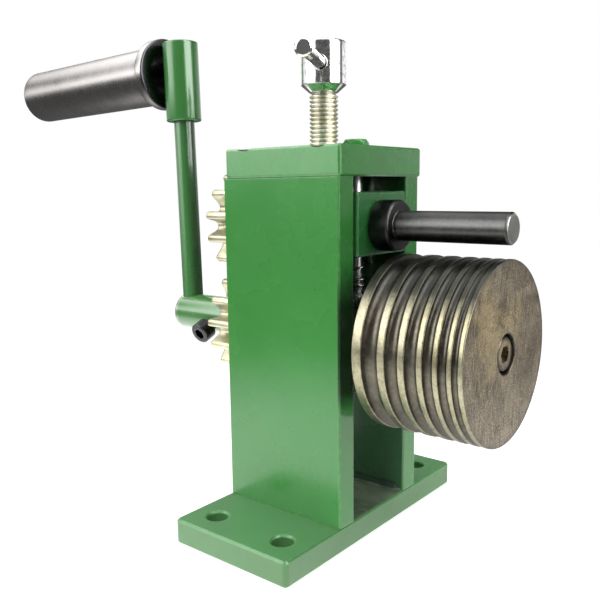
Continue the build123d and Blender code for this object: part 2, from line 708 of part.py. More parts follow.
def hub_screw():
    """Socket-head screw that clamps the hub to the shaft."""
    under = HUB_SCREW_HEAD_OUT - HUB_SCREW_HEAD_HEIGHT
    profile = [
        (0, HUB_SCREW_TIP),
        (HUB_SCREW_RADIUS, HUB_SCREW_TIP),
        (HUB_SCREW_RADIUS, under),
        (HUB_SCREW_HEAD_RADIUS, under),
        (HUB_SCREW_HEAD_RADIUS, HUB_SCREW_HEAD_OUT - HEAD_EDGE),
        (HUB_SCREW_HEAD_RADIUS - HEAD_EDGE, HUB_SCREW_HEAD_OUT),
        (0, HUB_SCREW_HEAD_OUT),
    ]
    socket = Pos(0, 0, HUB_SCREW_HEAD_OUT - HUB_SOCKET_DEPTH) * hexagon(HUB_SCREW_SOCKET, SOCKET_DEPTH)
    return hub_screw_place() * (turned(profile) - socket)


def arm_place():
    """Frame on the hub axis whose +Z runs up the leaning arm."""
    return Pos(0, ARM_Y, LOWER_AXIS_Z) * Rot(-ARM_LEAN, 0, 0)


def grip_place():
    """Frame in the middle of the crank head whose +Z runs out along the grip."""
    lean = math.radians(ARM_LEAN)
    y = ARM_Y + GRIP_ARM * math.sin(lean)
    z = LOWER_AXIS_Z + GRIP_ARM * math.cos(lean)
    return Pos(0, y, z) * Rot(-90 - GRIP_DROOP, 0, 0)


def crank_arm():
    """Round arm from the hub to the crank head."""
    arm = arm_place() * rod_z(ARM_RADIUS, 0, HEAD_BOTTOM)
    return arm - rod_y(HUB_RADIUS, ARM_Y - 2 * HUB_RADIUS, HUB_END_Y + 1, LOWER_AXIS_Z)


def crank_head():
    """Upright cylinder at the arm's end, tapped for the grip bolt."""
    head = Pos(0, 0, (HEAD_BOTTOM + HEAD_TOP) / 2) * Cylinder(HEAD_RADIUS, HEAD_TOP - HEAD_BOTTOM)
    head = chamfer(head.edges().filter_by(GeomType.CIRCLE), HEAD_CHAMFER)
    return arm_place() * head - grip_place() * rod_z(GRIP_BOLT_RADIUS, GRIP_BOLT_START, 2 * HEAD_RADIUS)


def grip_bolt():
    """Long socket-head bolt that the grip turns on."""
    seat = GRIP_FAR - GRIP_POCKET_DEPTH + BODY_GAP
    profile = [
        (0, GRIP_BOLT_START),
        (GRIP_BOLT_RADIUS, GRIP_BOLT_START),
        (GRIP_BOLT_RADIUS, seat),
        (SCREW_HEAD_RADIUS, seat),
        (SCREW_HEAD_RADIUS, seat + SCREW_HEAD_HEIGHT),
        (0, seat + SCREW_HEAD_HEIGHT),
    ]
    socket = Pos(0, 0, seat + SCREW_HEAD_HEIGHT - SOCKET_DEPTH) * hexagon(SCREW_SOCKET, SOCKET_DEPTH + 1)
    return grip_place() * (turned(profile) - socket)


def crank_grip():
    """Turned grip with a flange next to the crank head."""
    flange_end = GRIP_NEAR + GRIP_FLANGE_THICK
    cove = GRIP_COVE * ROUND_MIDDLE
    bore = GRIP_BOLT_RADIUS + RUNNING_FIT
    pocket = GRIP_FAR - GRIP_POCKET_DEPTH
    profile = [
        (bore, GRIP_NEAR),
        (GRIP_FLANGE_RADIUS - GRIP_EDGE, GRIP_NEAR),
        (GRIP_FLANGE_RADIUS, GRIP_NEAR + GRIP_EDGE),
        (GRIP_FLANGE_RADIUS, flange_end - GRIP_EDGE),
        (GRIP_FLANGE_RADIUS - GRIP_EDGE, flange_end),
        (GRIP_RADIUS + cove, flange_end + cove),
        (GRIP_RADIUS, flange_end + GRIP_COVE),
        (GRIP_RADIUS, GRIP_FAR - GRIP_ROUND),
        (GRIP_RADIUS - GRIP_ROUND * ROUND_MIDDLE, GRIP_FAR - GRIP_ROUND * ROUND_MIDDLE),
        (GRIP_RADIUS - GRIP_ROUND, GRIP_FAR),
        (GRIP_POCKET_RADIUS, GRIP_FAR),
        (GRIP_POCKET_RADIUS, pocket),
        (bore, pocket),
    ]
    return grip_place() * turned(profile)


def pressure_screw():
    """Screw with ring-shaped thread crests, a dog point and a tall head with a cross hole."""
    core = THREAD_RADIUS - THREAD_DEPTH
    tip = SEAT_TOP + BODY_GAP
    low = THREAD_TOP - THREAD_TURNS * THREAD_PITCH
    profile = [(0, tip), (DOG_RADIUS - HEAD_EDGE, tip), (DOG_RADIUS, tip + HEAD_EDGE), (core, low)]
    for turn in range(THREAD_TURNS):
        crest = low + (turn + 0.5) * THREAD_PITCH
        profile.append((THREAD_RADIUS, crest - THREAD_CREST / 2))
        profile.append((THREAD_RADIUS, crest + THREAD_CREST / 2))
        profile.append((core, low + (turn + 1) * THREAD_PITCH))
    profile += [
        (core, TAPER_BOTTOM),
        (THREAD_RADIUS, TAPER_BOTTOM),
        (KNOB_RADIUS, TAPER_TOP),
        (KNOB_RADIUS, SCREW_HEAD_TOP - KNOB_CHAMFER),
        (KNOB_RADIUS - KNOB_CHAMFER, SCREW_HEAD_TOP),
        (0, SCREW_HEAD_TOP),
    ]
    screw = Pos(0, CAP_CENTRE_Y, 0) * turned(profile)
    return screw - bar_place() * rod_z(BAR_HOLE_RADIUS, -2 * KNOB_RADIUS, 2 * KNOB_RADIUS)


def bar_place():
    """Frame in the screw head whose +Z runs along the cross bar, away from the loose end seen in front."""
    return Pos(0, CAP_CENTRE_Y, BAR_Z) * Rot(0, 0, BAR_ANGLE) * Rot(0, 90, 0)


def tommy_bar():
    """Loose cross bar with swaged ends."""
    far = BAR_NEAR + BAR_LENGTH
    soft = BAR_END_EDGE
    profile = [
        (0, BAR_NEAR),
        (BAR_END_RADIUS - soft, BAR_NEAR),
        (BAR_END_RADIUS, BAR_NEAR + soft),
        (BAR_END_RADIUS, BAR_NEAR + BAR_END_LENGTH - soft),
        (BAR_RADIUS, BAR_NEAR + BAR_END_LENGTH),
        (BAR_RADIUS, far - BAR_END_LENGTH),
        (BAR_END_RADIUS, far - BAR_END_LENGTH + soft),
        (BAR_END_RADIUS, far - soft),
        (BAR_END_RADIUS - soft, far),
        (0, far),
    ]
    return bar_place() * turned(profile)


os.makedirs("parts", exist_ok=True)

save("base_plate", base_plate())
save("left_side_plate", side_plate(-1))
save("right_side_plate", side_plate(1))
save("weld_beads", weld_beads())
save("cap_plate", cap_plate())
save("cap_screws", cap_screws())
save("lower_block", lower_block())
lower_bore = LOWER_JOURNAL_RADIUS + RUNNING_FIT
save("lower_bushes", bush_pair(LOWER_BUSH_RADIUS, lower_bore, -HALF_WIDTH, HALF_WIDTH, LOWER_AXIS_Z))
save("guide_bolt", guide_bolt())
save("spring_stud", spring_stud())
save("return_springs", return_springs())

save("press_block", press_block())
upper_bore = UPPER_JOURNAL_RADIUS + RUNNING_FIT
save("upper_bushes", bush_pair(UPPER_BUSH_RADIUS, upper_bore, -HALF_WIDTH, PRESS_BACK, UPPER_AXIS_Z))
save("screw_seat", screw_seat())

save("press_shaft", press_shaft())
save("upper_gear", gear(UPPER_SEAT_RADIUS, UPPER_GEAR_FRONT, UPPER_AXIS_Z, UPPER_TOOTH_ANGLE))
save("upper_key", key_block(UPPER_SEAT_RADIUS, UPPER_GEAR_FRONT, UPPER_AXIS_Z, UPPER_TOOTH_ANGLE))
save("gear_washer", gear_washer())
save("gear_bolt", gear_bolt())

save("drive_shaft", drive_shaft())
save("front_spacer", front_spacer())
save("grooved_roller", grooved_roller())
save("roller_key", roller_key())
save("roller_screw", roller_screw())
save("rear_spacer", rear_spacer())
save("lower_gear", gear(LOWER_SEAT_RADIUS, LOWER_GEAR_FRONT, LOWER_AXIS_Z, LOWER_TOOTH_ANGLE))
save("lower_key", key_block(LOWER_SEAT_RADIUS, LOWER_GEAR_FRONT, LOWER_AXIS_Z, LOWER_TOOTH_ANGLE))
save("crank_hub", crank_hub())
save("crank_arm", crank_arm())
save("crank_head", crank_head())
save("hub_screw", hub_screw())
save("grip_bolt", grip_bolt())

save("crank_grip", crank_grip())
save("pressure_screw", pressure_screw())
save("tommy_bar", tommy_bar())
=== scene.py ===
import bpy
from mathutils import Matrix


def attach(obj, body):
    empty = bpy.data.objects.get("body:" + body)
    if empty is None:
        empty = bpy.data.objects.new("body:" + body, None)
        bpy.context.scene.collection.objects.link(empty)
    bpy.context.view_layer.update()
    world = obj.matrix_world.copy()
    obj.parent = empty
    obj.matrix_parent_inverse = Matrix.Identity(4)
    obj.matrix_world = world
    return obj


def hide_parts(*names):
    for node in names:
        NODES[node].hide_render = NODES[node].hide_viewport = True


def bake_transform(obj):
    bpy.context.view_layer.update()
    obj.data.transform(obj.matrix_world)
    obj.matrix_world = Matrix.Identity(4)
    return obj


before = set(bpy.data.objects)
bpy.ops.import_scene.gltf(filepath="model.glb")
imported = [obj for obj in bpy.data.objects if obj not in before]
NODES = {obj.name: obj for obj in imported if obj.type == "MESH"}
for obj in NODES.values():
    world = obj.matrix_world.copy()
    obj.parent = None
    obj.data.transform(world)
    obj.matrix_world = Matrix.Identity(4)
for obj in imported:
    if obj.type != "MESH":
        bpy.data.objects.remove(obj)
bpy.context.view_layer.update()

import bpy
import math
import numpy as np
from mathutils import Matrix, Vector

# Ring roller: +Z up, +Y towards the crank, origin under the middle of the foot. Materials and lights are
# in metres. The surfaces and the lengths named here are in millimetres, and MM turns them into metres.
MM = 0.001
LOWER_Z = 84.0
UPPER_Z = 130.0
LOWER_AXIS = (0.0, 0.0, LOWER_Z)
ALONG_Y = (0.0, 1.0, 0.0)
HALF_OPENING = 19.0
FOOT_TOP = 10.5
BLOCK_BOTTOM = 64.0
CRANK_Y = 82.5
CRANK_LEAN = math.radians(1.5)
GRIP_REACH = 118.0
GRIP_DROOP = math.radians(0.94)
TEETH = 14
GEAR_TURN = 86.5
PAINT = (0.048, 0.268, 0.050)


# ---------------------------------------------------------------- node helpers

def add(tree, kind, **settings):
    """New node with its plain attributes set."""
    node = tree.nodes.new(kind)
    for name, value in settings.items():
        setattr(node, name, value)
    return node


def join(tree, source, target):
    """Link an output socket to an input socket."""
    tree.links.new(source, target)


def math_node(tree, operation, first, second=None, clamp=False):
    """Math node; each of first and second is a number or a socket."""
    node = add(tree, "ShaderNodeMath", operation=operation, use_clamp=clamp)
    for index, value in enumerate((first, second)):
        if value is None:
            continue
        if isinstance(value, (int, float)):
            node.inputs[index].default_value = value
        else:
            join(tree, value, node.inputs[index])
    return node.outputs[0]


def times(tree, first, second):
    """Product of two numbers or sockets."""
    return math_node(tree, "MULTIPLY", first, second)


def plus(tree, first, second, clamp=False):
    """Sum of two numbers or sockets."""
    return math_node(tree, "ADD", first, second, clamp)


def vector_node(tree, operation, first, second=None):
    """Vector math node; its result is a number for LENGTH, DISTANCE and DOT_PRODUCT."""
    node = add(tree, "ShaderNodeVectorMath", operation=operation)
    for index, value in enumerate((first, second)):
        if isinstance(value, tuple):
            node.inputs[index].default_value = value
        elif value is not None:
            join(tree, value, node.inputs[index])
    return node.outputs["Value" if operation in ("LENGTH", "DISTANCE", "DOT_PRODUCT") else "Vector"]


def parts(tree, vector):
    """X, Y and Z sockets of a vector."""
    node = add(tree, "ShaderNodeSeparateXYZ")
    join(tree, vector, node.inputs[0])
    return tuple(node.outputs)


def noise(tree, vector, scale, detail=3.0, roughness=0.55, distortion=0.0):
    """Noise texture's value output."""
    node = add(tree, "ShaderNodeTexNoise")
    node.inputs["Scale"].default_value = scale
    node.inputs["Detail"].default_value = detail
    node.inputs["Roughness"].default_value = roughness
    node.inputs["Distortion"].default_value = distortion
    join(tree, vector, node.inputs["Vector"])
    return node.outputs[0]


def stretch(tree, vector, scale):
    """Vector scaled along its axes."""
    node = add(tree, "ShaderNodeMapping")
    node.inputs["Scale"].default_value = scale
    join(tree, vector, node.inputs["Vector"])
    return node.outputs[0]


def span(tree, value, low, high, to_low=0.0, to_high=1.0):
    """Value mapped from one range to another and clamped."""
    node = add(tree, "ShaderNodeMapRange")
    for index, number in ((1, low), (2, high), (3, to_low), (4, to_high)):
        node.inputs[index].default_value = number
    join(tree, value, node.inputs[0])
    return node.outputs[0]


def blend_colour(tree, factor, first, second):
    """Mix of two colours, each a tuple or a socket; the factor is a socket."""
    node = add(tree, "ShaderNodeMix", data_type="RGBA")
    join(tree, factor, node.inputs[0])
    for index, value in ((6, first), (7, second)):
        if isinstance(value, tuple):
            node.inputs[index].default_value = (*value, 1.0)
        else:
            join(tree, value, node.inputs[index])
    return node.outputs[2]


def bump(tree, height, strength, distance, normal=None):
    """Bump node's normal output."""
    node = add(tree, "ShaderNodeBump")
    node.inputs["Strength"].default_value = strength
    node.inputs["Distance"].default_value = distance
    join(tree, height, node.inputs["Height"])
    if normal is not None:
        join(tree, normal, node.inputs["Normal"])
    return node.outputs[0]


def new_group(name, inputs, outputs):
    """Shader node group with its interface; each entry is (name, socket kind, default)."""
    group = bpy.data.node_groups.new(name, "ShaderNodeTree")
    for title, kind, default in inputs:
        socket = group.interface.new_socket(title, in_out="INPUT", socket_type=kind)
        if default is not None:
            socket.default_value = default
    for title, kind in outputs:
        group.interface.new_socket(title, in_out="OUTPUT", socket_type=kind)
    entry = group.nodes.new("NodeGroupInput")
    leave = group.nodes.new("NodeGroupOutput")
    return group, entry, leave


def use_group(tree, group, vector, **values):
    """Group node fed with the object's coordinates and plain values."""
    node = tree.nodes.new("ShaderNodeGroup")
    node.node_tree = group
    join(tree, vector, node.inputs["Vector"])
    for name, value in values.items():
        socket = node.inputs[name]
        socket.default_value = (*value, 1.0) if socket.type == "RGBA" else value
    return node


VECTOR = "NodeSocketVector"
COLOUR = "NodeSocketColor"
FLOAT = "NodeSocketFloat"


def rounded_edges():
    """Group: a mask of the sharp edges and a normal that rounds them."""
    group, entry, leave = new_group(
        "rounded_edges",
        [("Vector", VECTOR, None), ("Break", FLOAT, 0.5)],
        [("Edge", FLOAT), ("Normal", VECTOR)],
    )
    round_normal = add(group, "ShaderNodeBevel", samples=6)
    round_normal.inputs["Radius"].default_value = 0.0008
    geometry = add(group, "ShaderNodeNewGeometry")
    product = vector_node(group, "DOT_PRODUCT", round_normal.outputs[0], geometry.outputs["Normal"])
    bend = math_node(group, "SUBTRACT", 1.0, product)
    sharp = span(group, bend, 0.002, 0.09)
    patchy = noise(group, entry.outputs["Vector"], 260.0, 4.0, 0.7)
    low = math_node(group, "SUBTRACT", entry.outputs["Break"], 0.12)
    worn = math_node(group, "GREATER_THAN", patchy, low)
    strength = plus(group, times(group, worn, 0.62), 0.38)
    soft = times(group, sharp, strength)
    join(group, soft, leave.inputs["Edge"])
    join(group, round_normal.outputs[0], leave.inputs["Normal"])
    return group


def enamel_surface():
    """Group: sprayed enamel's colour, roughness and orange-peel normal."""
    group, entry, leave = new_group(
        "enamel_surface",
        [
            ("Vector", VECTOR, None),
            ("Paint", COLOUR, (*PAINT, 1.0)),
            ("Edge", FLOAT, 0.0),
            ("Dullness", FLOAT, 0.27),
            ("Normal", VECTOR, None),
        ],
        [("Color", COLOUR), ("Roughness", FLOAT), ("Normal", VECTOR)],
    )
    vector = entry.outputs["Vector"]
    cloud = noise(group, vector, 22.0, 4.0, 0.6)
    shades = []
    for value in (0.93, 1.06):
        shade = add(group, "ShaderNodeHueSaturation")
        shade.inputs["Value"].default_value = value
        join(group, entry.outputs["Paint"], shade.inputs["Color"])
        shades.append(shade.outputs[0])
    tone = blend_colour(group, span(group, cloud, 0.3, 0.7), *shades)
    dust = noise(group, vector, 900.0, 2.0, 0.5)
    speck = span(group, dust, 0.7, 0.78, 0.0, 0.35)
    tone = blend_colour(group, speck, tone, (0.12, 0.34, 0.12))
    # Edge tint: sharp edges lightened to pale green, partly worn paint and partly a painted highlight where
    # the rounded edges catch light.
    rim = times(group, entry.outputs["Edge"], 0.60)
    tone = blend_colour(group, rim, tone, (0.30, 0.55, 0.28))
    join(group, tone, leave.inputs["Color"])
    smear = noise(group, vector, 55.0, 3.0, 0.5)
    rough = span(group, smear, 0.25, 0.75, -0.05, 0.05)
    join(group, plus(group, rough, entry.outputs["Dullness"]), leave.inputs["Roughness"])
    peel = noise(group, vector, 620.0, 2.0, 0.5)
    wave = noise(group, vector, 90.0, 2.0, 0.5)
    height = plus(group, peel, times(group, wave, 2.2))
    normal = bump(group, height, 0.10, 0.00008, entry.outputs["Normal"])
    join(group, normal, leave.inputs["Normal"])
    return group


def turning_marks():
    """Group: lathe marks as noise of the distance from an axis (Face) and of the height along it (Side)."""
    group, entry, leave = new_group(
        "turning_marks",
        [
            ("Vector", VECTOR, None),
            ("Centre", VECTOR, None),
            ("Along", VECTOR, None),
            ("Fineness", FLOAT, 4000.0),
        ],
        [("Face", FLOAT), ("Side", FLOAT), ("Radius", FLOAT)],
    )
    offset = vector_node(group, "SUBTRACT", entry.outputs["Vector"], entry.outputs["Centre"])
    height = vector_node(group, "DOT_PRODUCT", offset, entry.outputs["Along"])
    shift = add(group, "ShaderNodeVectorMath", operation="SCALE")
    join(group, entry.outputs["Along"], shift.inputs[0])
    join(group, height, shift.inputs["Scale"])
    radius = vector_node(group, "LENGTH", vector_node(group, "SUBTRACT", offset, shift.outputs[0]))
    for source, title in ((radius, "Face"), (height, "Side")):
        ring = add(group, "ShaderNodeTexNoise", noise_dimensions="1D")
        ring.inputs["Detail"].default_value = 3.0
        join(group, entry.outputs["Fineness"], ring.inputs["Scale"])
        join(group, source, ring.inputs["W"])
        join(group, ring.outputs[0], leave.inputs[title])
    join(group, radius, leave.inputs["Radius"])
    return group


def oil_stain():
    """Group: colour and roughness of oiled dark steel with thin worn patches."""
    group, entry, leave = new_group(
        "oil_stain",
        [
            ("Vector", VECTOR, None),
            ("Dark", COLOUR, (0.02, 0.02, 0.024, 1.0)),
            ("Worn", COLOUR, (0.18, 0.17, 0.16, 1.0)),
            ("Amount", FLOAT, 0.3),
            ("Edge", FLOAT, 0.0),
        ],
        [("Color", COLOUR), ("Roughness", FLOAT), ("Height", FLOAT)],
    )
    vector = entry.outputs["Vector"]
    patch = noise(group, vector, 130.0, 6.0, 0.7, 0.4)
    film = noise(group, vector, 900.0, 3.0, 0.6)
    both = plus(group, times(group, patch, 0.75), times(group, film, 0.25))
    worn = times(group, span(group, both, 0.42, 0.68), entry.outputs["Amount"])
    worn = plus(group, worn, times(group, entry.outputs["Edge"], 0.7), clamp=True)
    tone = blend_colour(group, worn, entry.outputs["Dark"], entry.outputs["Worn"])
    join(group, tone, leave.inputs["Color"])
    join(group, span(group, patch, 0.3, 0.7, 0.26, 0.46), leave.inputs["Roughness"])
    join(group, film, leave.inputs["Height"])
    return group


EDGES = rounded_edges()
ENAMEL = enamel_surface()
TURNING = turning_marks()
OIL = oil_stain()


def start_material(name):
    """Material with its node tree, its shader and the object's coordinates."""
    material = bpy.data.materials.new(name)
    material.use_nodes = True
    tree = material.node_tree
    tree.nodes.clear()
    output = add(tree, "ShaderNodeOutputMaterial")
    shader = add(tree, "ShaderNodeBsdfPrincipled")
    join(tree, shader.outputs[0], output.inputs["Surface"])
    place = add(tree, "ShaderNodeTexCoord")
    return material, tree, shader, place.outputs["Object"]


def dress(tree, shader, colour, roughness, normal, metallic=0.0):
    """Feed the shader's colour, roughness and normal; metallic is a number or a socket."""
    titles = ("Base Color", "Roughness", "Normal", "Metallic")
    for title, source in zip(titles, (colour, roughness, normal, metallic)):
        if isinstance(source, float):
            shader.inputs[title].default_value = source
        else:
            join(tree, source, shader.inputs[title])


def within(tree, place, limits):
    """Mask of a box with sides 0.3 mm soft; limits is a list of (axis number, low, high) in millimetres."""
    sides = parts(tree, place)
    soft = 0.00015
    mask = None
    for axis, low, high in limits:
        inner = times(tree, span(tree, sides[axis], low * MM - soft, low * MM + soft),
                      span(tree, sides[axis], high * MM - soft, high * MM + soft, 1.0, 0.0))
        mask = inner if mask is None else times(tree, mask, inner)
    return mask


def dirt_and_shade_group():
    """Group: colour of the frame's paint: painted shade inside the opening, a dirty, scratched floor between
    the plates and a painted shadow of the roller on the left plate's front edge.
    """
    group, entry, leave = new_group(
        "frame_dirt_and_shade",
        [("Vector", VECTOR, None), ("Color", COLOUR, (0.05, 0.25, 0.05, 1.0))],
        [("Color", COLOUR)],
    )
    vector = entry.outputs["Vector"]
    patch = noise(group, vector, 70.0, 5.0, 0.7, 0.5)
    scratch = noise(group, stretch(group, vector, (1.0, 0.18, 1.0)), 500.0, 3.0, 0.6)
    # Painted shade inside the opening: the inner walls and the cap's underside go to a dull dark grey-green
    # low down and to near black higher up.
    walls = within(group, vector, [(0, -19.08, 19.08), (1, -40.0, 40.0), (2, 11.0, 149.6)])
    walls = times(group, walls, span(group, patch, 0.3, 0.6, 0.82, 0.97))
    height = parts(group, vector)[2]
    dull, shaded_wall_tone = (0.062, 0.105, 0.078), (0.008, 0.014, 0.011)
    wall = blend_colour(group, span(group, height, 0.058, 0.075), dull, shaded_wall_tone)
    tone = blend_colour(group, walls, entry.outputs["Color"], wall)
    floor = within(group, vector, [(0, -19.3, 19.3), (1, -29.2, 40.0), (2, 10.3, 11.2)])
    grime = blend_colour(group, span(group, patch, 0.35, 0.65), (0.13, 0.20, 0.13), (0.38, 0.45, 0.34))
    grime = blend_colour(group, span(group, scratch, 0.58, 0.68, 0.0, 0.6), grime, (0.52, 0.52, 0.46))
    tone = blend_colour(group, times(group, floor, 0.95), tone, grime)
    # Painted shadow of the roller: the left plate's front edge behind it is darkened to near black between 58
    # and 118 mm high.
    behind = within(group, vector, [(0, -29.3, -18.9), (1, -31.0, -29.2)])
    shade = times(group, span(group, height, 0.058, 0.066), span(group, height, 0.100, 0.118, 1.0, 0.0))
    shade = times(group, times(group, behind, shade), 0.80)
    tone = blend_colour(group, shade, tone, (0.006, 0.012, 0.007))
    join(group, tone, leave.inputs["Color"])
    return group


DIRT_AND_SHADE = dirt_and_shade_group()


def enamel_material(name, paint=PAINT, worn=0.62, lean=0.0, dullness=0.27, coating=0.30, dirty_and_shaded=False,
                    bare_end=False, arm=False, skirt=False, streaks=False):
    """Glossy sprayed enamel. lean tips its mirror normal up, bare_end wears the hub's end to metal, arm
    shades the side that faces the frame, skirt soils the foot's sides, streaks adds fine runs along Z."""
    material, tree, shader, place = start_material(name)
    edges = use_group(tree, EDGES, place, Break=worn)
    coat = use_group(tree, ENAMEL, place, Paint=paint, Dullness=dullness)
    join(tree, edges.outputs["Edge"], coat.inputs["Edge"])
    normal = edges.outputs["Normal"]
    facing = parts(tree, normal)[1]
    if lean:
        rise = add(tree, "ShaderNodeCombineXYZ")
        rise.inputs[2].default_value = lean
        if arm:
            join(tree, span(tree, facing, -0.66, -0.20, 0.0, lean), rise.inputs[2])
        normal = vector_node(tree, "NORMALIZE", vector_node(tree, "ADD", normal, rise.outputs[0]))
    if streaks:
        runs = noise(tree, stretch(tree, place, (1.0, 1.0, 0.03)), 900.0, 2.0, 0.6)
        normal = bump(tree, runs, 0.22, 0.00005, normal)
    join(tree, normal, coat.inputs["Normal"])
    tone = coat.outputs["Color"]
    station, height = parts(tree, place)[1:]
    if arm:
        shade = span(tree, facing, -0.93, -0.60, 0.72, 0.0)
        tone = blend_colour(tree, shade, tone, (0.012, 0.042, 0.014))
    if skirt:
        soil = noise(tree, place, 90.0, 4.0, 0.65)
        low = times(tree, span(tree, height, 0.0088, 0.0098, 1.0, 0.0),
                    span(tree, soil, 0.35, 0.65, 0.30, 0.62))
        tone = blend_colour(tree, low, tone, (0.070, 0.165, 0.048))
    # Painted shade inside the opening and the roller's painted shadow on the left plate's edge, with a dirty
    # floor between the plates.
    if dirty_and_shaded:
        dirt_and_shade = use_group(tree, DIRT_AND_SHADE, place)
        join(tree, tone, dirt_and_shade.inputs["Color"])
        tone = dirt_and_shade.outputs[0]
    metal = 0.0
    if bare_end:
        patchy = noise(tree, place, 420.0, 4.0, 0.65)
        reach = plus(tree, station, times(tree, patchy, 0.0050))
        rim = span(tree, reach, 0.0872, 0.0890)
        tone = blend_colour(tree, rim, tone, (0.40, 0.45, 0.37))
        metal = times(tree, rim, 0.5)
    dress(tree, shader, tone, coat.outputs["Roughness"], coat.outputs["Normal"], metal)
    shader.inputs["IOR"].default_value = 1.5 if coating else 1.25
    shader.inputs["Coat Weight"].default_value = coating
    shader.inputs["Coat Roughness"].default_value = 0.10
    return material


def oiled_material(name, dark, worn, amount, flange=None):
    """Blackened steel. flange is the station along Y where the press shaft's flange starts: it is darker from
    there, turned round the upper axis, shaded above and below, and worn at the pin's tip."""
    material, tree, shader, place = start_material(name)
    edges = use_group(tree, EDGES, place, Break=0.45)
    stain = use_group(tree, OIL, place, Dark=dark, Worn=worn, Amount=amount)
    join(tree, edges.outputs["Edge"], stain.inputs["Edge"])
    tone = stain.outputs["Color"]
    normal = bump(tree, stain.outputs["Height"], 0.25, 0.00004, edges.outputs["Normal"])
    if flange is not None:
        station, height = parts(tree, place)[1:]
        back = span(tree, station, flange, flange + 0.0008, 0.0, 0.62)
        tone = blend_colour(tree, back, tone, (0.016, 0.020, 0.021))
        under = span(tree, height, 0.1255, 0.1300, 0.45, 0.0)
        over = span(tree, height, 0.1312, 0.1335, 0.0, 0.50)
        tone = blend_colour(tree, plus(tree, under, over), tone, (0.012, 0.012, 0.013))
        tip = span(tree, station, -0.08595, -0.0857, 0.85, 0.0)
        tone = blend_colour(tree, tip, tone, (0.42, 0.41, 0.385))
        rings = use_group(tree, TURNING, place, Fineness=5200.0, Along=ALONG_Y,
                          Centre=(0.0, 0.0, UPPER_Z * MM))
        normal = bump(tree, rings.outputs["Side"], 0.3, 0.00004, normal)
    dress(tree, shader, tone, stain.outputs["Roughness"], normal, 1.0)
    return material


def steel_material(name, base, dull, roughness, centre=(0.0, 0.0, LOWER_Z * MM), along=ALONG_Y,
                   fineness=4200.0, depth=0.35, dark_before=None):
    """Turned bare steel with ring marks; dark_before is a station along Y up to which it stays oily black."""
    material, tree, shader, place = start_material(name)
    edges = use_group(tree, EDGES, place, Break=0.4)
    rings = use_group(tree, TURNING, place, Fineness=fineness, Centre=centre, Along=along)
    cloud = noise(tree, place, 45.0, 5.0, 0.65)
    tone = blend_colour(tree, span(tree, cloud, 0.3, 0.7), dull, base)
    tone = blend_colour(tree, span(tree, rings.outputs["Side"], 0.35, 0.7, 0.0, 0.35), tone, base)
    if dark_before is not None:
        oily = span(tree, parts(tree, place)[1], dark_before, dark_before + 0.0008, 0.9, 0.0)
        tone = blend_colour(tree, oily, tone, (0.020, 0.022, 0.028))
    rough = span(tree, noise(tree, place, 160.0, 4.0, 0.6), 0.3, 0.7, roughness - 0.02, roughness + 0.03)
    normal = bump(tree, rings.outputs["Side"], depth, 0.00005, edges.outputs["Normal"])
    normal = bump(tree, rings.outputs["Face"], depth * 0.7, 0.00005, normal)
    dress(tree, shader, tone, rough, normal, 1.0)
    return material


